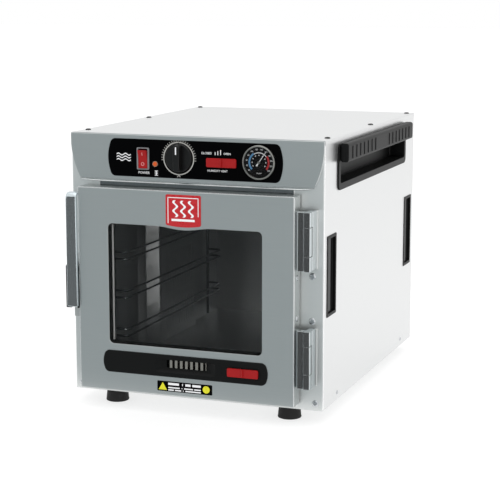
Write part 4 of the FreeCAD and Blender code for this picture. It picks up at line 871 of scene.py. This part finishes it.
piece("badge_enamel", "door", enamel, [block("front", badge,
        soft_edge(badge_high[1], badge_low[1] + 0.1, 0.5))], ["badge_plate"])
badge_face = badge_low[1] + 0.1
centre_x, centre_z = door_mid, (badge_low[2] + badge_sag + badge_high[2]) / 2
marks = [bar(centre_x - 30, centre_z - 1, 1.4, 48, badge_face, 0, 0.1),
         bar(centre_x + 30, centre_z + 6, 1.4, 34, badge_face, 0, 0.1),
         bar(centre_x, centre_z + 23, 61.4, 1.4, badge_face, 0, 0.1),
         bar(centre_x, centre_z - 18.5, 46, 4.2, badge_face, 0, 0.1)]
along = np.linspace(-1, 1, 29)
for column in range(3):
    middle = np.stack([centre_x - 15.5 + 15.5 * column + 3.6 * np.sin(along * 1.9 * math.pi),
                       centre_z + 2.5 + 15.5 * along], 1)
    marks.append(ribbon(middle, (2.3, 0), badge_face - 0.1))
piece("badge_mark", "door", white_ink, marks, (), 30)

# Notice plate: a black printed label with plain pale lines and two yellow fields.
yellow_ink = finish_of("yellow_screen_print", ("d8d410", "e4e01c"), (0.5, 0.6), 1.0)
notice_face = door_face - 0.35
notice = rounded((-63.75, 45.5), (47.5, 65.0), 1.6)
piece("notice_plate", "door", film, [block("front", notice,
        soft_edge(door_face + 0.1, notice_face, 0.15, 2))], ())
lines = []
for z, tall, words in ((60.3, 4.4, ((-41.4, -19.5), (-13.0, -11.5), (-6.5, 4.0), (7.5, 24.6))),
                       (53.2, 2.4, ((-41.4, -18.0), (-14.0, -12.8), (-9.0, 9.0), (11.5, 24.6))),
                       (48.6, 2.4, ((-41.4, -30.0), (-27.5, -15.0), (-11.5, -10.3), (-6.5, 24.6)))):
    lines += [bar((x0 + x1) / 2, z, x1 - x0, tall, notice_face) for x0, x1 in words]
piece("notice_lines", "door", white_ink, lines, (), 30)
triangle = np.array([(-61.0, 48.0), (-44.0, 48.0), (-52.5, 62.6)])
fields = [stacked("front", [(triangle, notice_face), (triangle, notice_face - 0.12)]),
          band(35.5, 55.4, 0.4, 7.0, 0, 360, notice_face, steps=32)]
piece("notice_fields", "door", yellow_ink, fields, (), 30)

# ---- Hinges ------------------------------------------------------------------------------------
# Two cast and chromed hinges with square knuckles: the leaf on the door carries the middle
# knuckle and a bracket on the face frame the two outer ones, with black nylon washers between.

# Satin chrome on cast zinc: bright but blurred, dark where it faces the darker front.
chrome = finish_of("satin_chrome_casting", ("d3dadc", "dadfe1"), (0.11, 0.15), 4.0, Metallic=0.92)


def bevelled(low, high, radius=1.0, corner=1.2):
    """Block from corner low to corner high with all its edges rounded, standing along z."""
    outline = rounded(low[:2], high[:2], corner, 4)
    return block("top", outline, soft_edge(low[2], high[2], radius, 3, radius))


knuckle_left, knuckle_right, knuckle_tall = 225.0, 237.0, 53.0
for place in ("lower", "upper"):
    leaf_low, leaf_high = span("hinge_body_leaf_" + place)
    door_leaf_low = span("hinge_door_leaf_" + place)[0]
    z0, z1 = leaf_low[2], leaf_high[2]
    ear = (z1 - z0 - knuckle_tall) / 2
    y0 = leaf_low[1]
    body_shells = [bevelled((knuckle_left, y0, z0), (knuckle_right, y0 + 16, z0 + ear - 0.5), 0.4, 1.4),
                   bevelled((knuckle_left, y0, z1 - ear + 0.5), (knuckle_right, y0 + 16, z1), 0.4, 1.4),
                   bevelled((knuckle_left, y0 + 16.6, z0), (knuckle_right, FACE, z1), 0.8, 0.8)]
    piece("hinge_foot_" + place, "cabinet", brushed_frame_painted_light,
          [bevelled((knuckle_left, FACE - 3, z0), (leaf_high[0], FACE, z1), 0.8, 0.8)],
          ["hinge_body_leaf_" + place])
    piece("hinge_bracket_" + place, "cabinet", chrome, body_shells, ["hinge_body_leaf_" + place])
    door_shells = [bevelled((knuckle_left, y0, z0 + ear + 0.5), (knuckle_right, y0 + 14, z1 - ear - 0.5),
                            0.4, 1.4), bevelled((knuckle_left - 4, y0 + 4, z0 + ear),
                                    (knuckle_left + 2, y0 + 12, z1 - ear), 0.5, 0.5),
                                    bevelled((door_leaf_low[0] + 5, y0 + 3, z0), (223.7, y0 + 18, z1),
                                            0.6, 0.8),
                                                    bevelled((door_leaf_low[0], y0 + 12, z0),
                                                             (door_leaf_low[0] + 6, y0 + 18, z1), 0.6, 0.8)]
    washers = [bevelled((knuckle_left + 0.3, y0 + 0.3, z - 0.5),
                        (knuckle_right - 0.1, y0 + 15.7, z + 0.5), 0.1, 1.2) for z in (z0 + ear, z1 - ear)]
    washers.append(bevelled((knuckle_left + 0.5, y0 + 14.3, z0 + ear + 0.5),
                            (knuckle_right - 0.2, y0 + 16.0, z1 - ear - 0.5), 0.1, 0.3))
    piece("hinge_washers_" + place, "cabinet", black_mould, washers, ())
    piece("hinge_door_leaf_" + place + "_casting", "door", chrome, door_shells,
          ["hinge_door_leaf_" + place])

# ---- Latch -------------------------------------------------------------------------------------
# A magnetic edge latch: a chromed block on the door's free edge and a long lever pinned to it. The
# lever is a bar with a rounded front whose top curls back towards the door.

latch_low, latch_high = span("latch_body")
lug = 5.5
latch_x = -235.8
y0, y1 = latch_low[1], latch_high[1]
slot_top = 232.0
latch_shells = [bevelled((latch_low[0], y0, slot_top), (latch_high[0], y1, latch_high[2]), 0.8, 1.0),
                bevelled((latch_low[0], y0, latch_low[2]), (latch_x - lug - 0.5, y1, slot_top), 0.8, 1.0),
                bevelled((latch_x + lug + 0.5, y0, latch_low[2]), (latch_high[0], y1, slot_top), 0.8,
                         1.0), bevelled((latch_x - lug - 1, y0 + 18, latch_low[2]),
                                        (latch_x + lug + 1, y1, slot_top), 0.5, 0.5)]
# The block behind the lever is coloured near black: painted shade for the dark gap round the
# lever.
latch_block_painted_shade = finish_of("latch_block_painted_shade_dark", ("1f2223", "282b2c"), (0.25, 0.35), 3.0, Metallic=0.5)
piece("latch_block", "door", latch_block_painted_shade, latch_shells, ["latch_body"])

lever_low, lever_high = span("latch_lever")
half = 10.8
crown, lever_back = FACE - 46.0, FACE - 37.0
curl = 13.0
foot_z, bend_z = lever_low[2], lever_high[2] - curl
thick = lever_back - crown - 1.5
straight = np.stack([np.full(7, crown), np.array([0, 0.5, 1.5, 3, 60, 130, bend_z - foot_z]) + foot_z], 1)
normals = np.tile((-1.0, 0.0), (7, 1))
turn = np.radians(np.linspace(0, 118, 14))[1:]
arc = np.stack([crown + curl - curl * np.cos(turn), bend_z + curl * np.sin(turn)], 1)
arc_normals = np.stack([-np.cos(turn), np.sin(turn)], 1)
path, out = np.concatenate([straight, arc]), np.concatenate([normals, arc_normals])
depth = np.concatenate([np.full(7, thick), np.linspace(thick, 5.0, 13)])
width = np.concatenate([[half - 1.6, half - 0.7, half - 0.2], np.full(15, half), [half - 0.4, half - 1.2]])
sink = np.concatenate([[1.8, 0.8, 0.2, 0.0], np.zeros(16)])
angles = np.radians(np.linspace(0, 180, 15))
rings = []
for (y, z), (ny, nz), d, w, s in zip(path, out, depth, width, sink):
    u = np.concatenate([np.sign(np.cos(angles)) * np.abs(np.cos(angles)) ** 0.7 * w,
                        [-w, -w + 0.8, w - 0.8, w]])
    v = np.concatenate([-s - 2.8 * (1 - np.sin(angles) ** 0.8), [-d + 0.8, -d, -d, -d + 0.8]])
    rings.append(np.stack([latch_x + 1.2 + u, y + ny * v, z + nz * v], 1))
lug_boss = block("side", circle(FACE - 27, 204, 5.5, 24),
                 [(0.5, latch_x - lug), (0, latch_x - lug + 0.5), (0, latch_x + lug - 0.5),
                  (0.5, latch_x + lug)])
web = bevelled((latch_x - lug, lever_back - 2, 201), (latch_x + lug, FACE - 24, 217), 0.4, 0.5)
# The lever is chromed too, but blasted finer, so that it looks a softer blue grey.
soft_chrome = finish_of("soft_chrome_lever", ("ccd6da", "d3dce0"), (0.16, 0.20), 4.0, Metallic=0.84)
piece("latch_handle_lever", "latch_handle", soft_chrome, [skin(rings), lug_boss, web], ["latch_lever"],
      50)

# Strike plate behind the latch: polished steel, screwed flat to the face frame.
strike_low, strike_high = span("strike_plate")
strike = rounded(strike_low[XZ], strike_high[XZ], 1.5)
piece("latch_strike", "cabinet", bright_sheet,
      [block("front", strike, soft_edge(strike_high[1], strike_low[1], 0.6, 3))], ["strike_plate"])

# ---- Screws ------------------------------------------------------------------------------------
# Low round-headed machine screws with a cross recess: bright ones in the face frame and the door's
# edge and the sides, black ones in the top.


def screw_head(centre, axis, radius, rise):
    """Dome of the screw's head: radius r cos t, height h sin t, with a cross of four notches pressed
    into its crown; axis is the coordinate it points along and the sign of its sense."""
    direction, sense = axis
    count = 32
    angle = np.linspace(0, 2 * math.pi, count, endpoint=False)
    rings = []
    for f, height in ((1.0, -0.6), (1.0, 0.0), (0.97, 0.35), (0.86, 0.68), (0.68, 0.9), (0.5, 0.985),
                      (0.34, 1.0), (0.12, 1.0)):
        notch = 0.62 * rise * (np.abs(np.cos(2 * angle)) > 0.86) * (0.05 < f < 0.45)
        u, v, w = radius * f * np.cos(angle), radius * f * np.sin(angle), sense * (height * rise - notch)
        ring = np.stack({"top": (u, v, w), "front": (u, w, v), "side": (w, u, v)}[direction], 1)
        rings.append(ring + centre)
    return skin(rings)


# Zinc-plated screw: bright bluish steel. Black ones are blackened steel with a soft gloss.
plated = finish_of("zinc_plated_screw", ("c2c5c8", "cdd0d2"), (0.18, 0.26), 2.0, Metallic=1.0)
blackened = finish_of("blackened_screw", ("0b0b0b", "131313"), (0.3, 0.4), 1.5, Specular_IOR_Level=0.3)
face_screws = [(230.5, 277.0), (230.5, 193.5), (237.5, 38.5), (-237.5, 38.5)]
piece("face_screw_heads", "cabinet", plated, [screw_head((x, FACE, z), ("front", -1), 6.6, 2.6)
                                              for x, z in face_screws], ["front_screws"], 40)
piece("door_screw_heads", "door", plated, [screw_head((door_high[0], FACE - 20, z), ("side", 1), 5.6, 1.9)
                                           for z in (276.0, 201.0)], ["door_screws"], 40)
top_places = [(s * 241.0, y) for s in (-1, 1) for y in (FACE + 50, FACE + 337.5, FACE + 625)]
piece("top_screw_heads", "cabinet", blackened,
      [screw_head((x, y, top_high[2]), ("top", 1), 5.5, 2.2) for x, y in top_places], ["top_screws"],
      40)
piece("side_screw_heads", "cabinet", plated, [screw_head((s * 252.0, FACE + y, 39.0), ("side", s), 4.0,
        1.6) for s in (-1, 1) for y in (90, 560)], ["side_screws"], 40)

# ---- Studio ------------------------------------------------------------------------------------
# A backlit white floor in a white room, with a soft box overhead. Two grey boards that only
# reflections see, one lying and one standing before the cabinet, make the front read mid grey.


def emitting(name, colour, strength):
    """Plain light-giving surface for a studio board."""
    material = bpy.data.materials.new(name)
    material.use_nodes = True
    tree = material.node_tree
    glow = add(tree, "Emission", {"Color": linear(colour), "Strength": strength})
    tree.links.new(glow.outputs["Emission"], tree.nodes["Material Output"].inputs["Surface"])
    return material


def stage_sheet(name, corners, material):
    """Flat four-cornered sheet in metres that belongs to the studio."""
    mesh = bpy.data.meshes.new(name)
    mesh.from_pydata(corners, [], [list(range(len(corners)))])
    mesh.materials.append(material)
    made = bpy.data.objects.new(name, mesh)
    bpy.context.scene.collection.objects.link(made)
    return made


# Translucent white acrylic, lit from below so that the shadows on it stay faint.
acrylic = finish_of("backlit_white_sweep", ("a6a6a6", "a2a2a2"), (0.8, 0.9), 40.0, Specular_IOR_Level=0.1,
                    Emission_Color=linear("ffffff"), Emission_Strength=0.70)
stage_sheet("studio_floor", [(-14, -10, 0), (14, -10, 0), (14, 24, 0), (-14, 24, 0)], acrylic)
grey_board = emitting("grey_board", "9aa1a3", 1.30)
floor_board = stage_sheet("board_on_floor", [(-3.2, -2.2, 0.002), (0.6, -2.2, 0.002), (0.6, -0.42, 0.002),
                                             (-3.2, -0.42, 0.002)], grey_board)
standing_board = stage_sheet("standing_board",
                             [(-3.2, -2.2, 0.0), (0.6, -2.2, 0.0), (0.6, -2.2, 1.6), (-3.2, -2.2, 1.6)],
                             grey_board)
for board in (floor_board, standing_board):
    for kind in ("camera", "diffuse", "shadow", "transmission", "volume_scatter"):
        setattr(board, "visible_" + kind, False)

# The boards are kept off the chromed castings, as by a flag, so that their fronts mirror the dark.
shaded = bpy.data.collections.new("castings_kept_dark")
for name in ("hinge_bracket_lower", "hinge_bracket_upper", "hinge_door_leaf_lower_casting",
             "hinge_door_leaf_upper_casting", "latch_block", "latch_handle_lever"):
    shaded.objects.link(bpy.data.objects[name])
for entry in shaded.collection_objects:
    entry.light_linking.link_state = "EXCLUDE"
for board in (floor_board, standing_board):
    board.light_linking.receiver_collection = shaded

# A small light before the glass is kept on the cavity's own sheets and wires.
cavity = bpy.data.collections.new("cavity_sheets")
for name in ("liner_back", "duct_panel_left", "duct_panel_right", "fan_baffle", "rack_left", "rack_right"):
    cavity.objects.link(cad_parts[name])
# An upright strip of light inside gives only the cover sheet on the left its soft vertical gleam.
wall = bpy.data.collections.new("cavity_wall")
wall.objects.link(bpy.data.objects["duct_cover_left"])

room = bpy.data.worlds.new("studio_room")
bpy.context.scene.world = room
room.use_nodes = True
tree = room.node_tree
tree.nodes["Background"].inputs["Color"].default_value = linear("ffffff")
tree.nodes["Background"].inputs["Strength"].default_value = 1.0


def area_light(name, place, target, size, power, receivers=None):
    """Soft square light at a place, turned towards its target, and kept on its receivers if any."""
    data = bpy.data.lights.new(name, "AREA")
    data.shape, data.size, data.size_y, data.energy = "RECTANGLE", size[0], size[1], power
    lamp = bpy.data.objects.new(name, data)
    lamp.location = place
    lamp.rotation_mode = "QUATERNION"
    lamp.rotation_quaternion = (Vector(target) - Vector(place)).to_track_quat("-Z", "Y")
    bpy.context.scene.collection.objects.link(lamp)
    if receivers:
        lamp.light_linking.receiver_collection = receivers
    return lamp


area_light("overhead_soft_box", (0.3, -0.2, 3.2), (0, 0, 0), (3.5, 3.5), 22)
area_light("cavity_light", (0.25, -1.1, 0.75), (-0.1, 0.1, 0.25), (0.5, 0.5), 16, cavity)
strip_place = Vector((-0.06, duct_low[1] * MM + 0.38, 0.22))
strip_sense = Vector((-math.sin(math.radians(155)), math.cos(math.radians(155)), 0))
strip = area_light("cavity_strip", strip_place, strip_place + strip_sense, (0.03, 0.36), 0.022, wall)
strip.data.spread = math.radians(70)
strip.visible_camera = strip.visible_transmission = False

low, high = cad_box
aim = (low + high) / 2 + Vector((-0.0023, -0.0011, -0.0012))
azimuth, elevation, distance = math.radians(20.18), math.radians(9.90), 3.139
back = Vector((math.sin(azimuth) * math.cos(elevation), -math.cos(azimuth) * math.cos(elevation),
               math.sin(elevation)))
camera = bpy.data.cameras.new("camera")
camera.lens, camera.sensor_width = 109.92, 36.0
camera.clip_end = 100
viewer = bpy.data.objects.new("camera", camera)
viewer.location = aim + back * distance
viewer.rotation_mode = "QUATERNION"
viewer.rotation_quaternion = (-back).to_track_quat("-Z", "Y")
bpy.context.scene.collection.objects.link(viewer)
bpy.context.scene.camera = viewer
bpy.context.scene.view_settings.view_transform = "Standard"
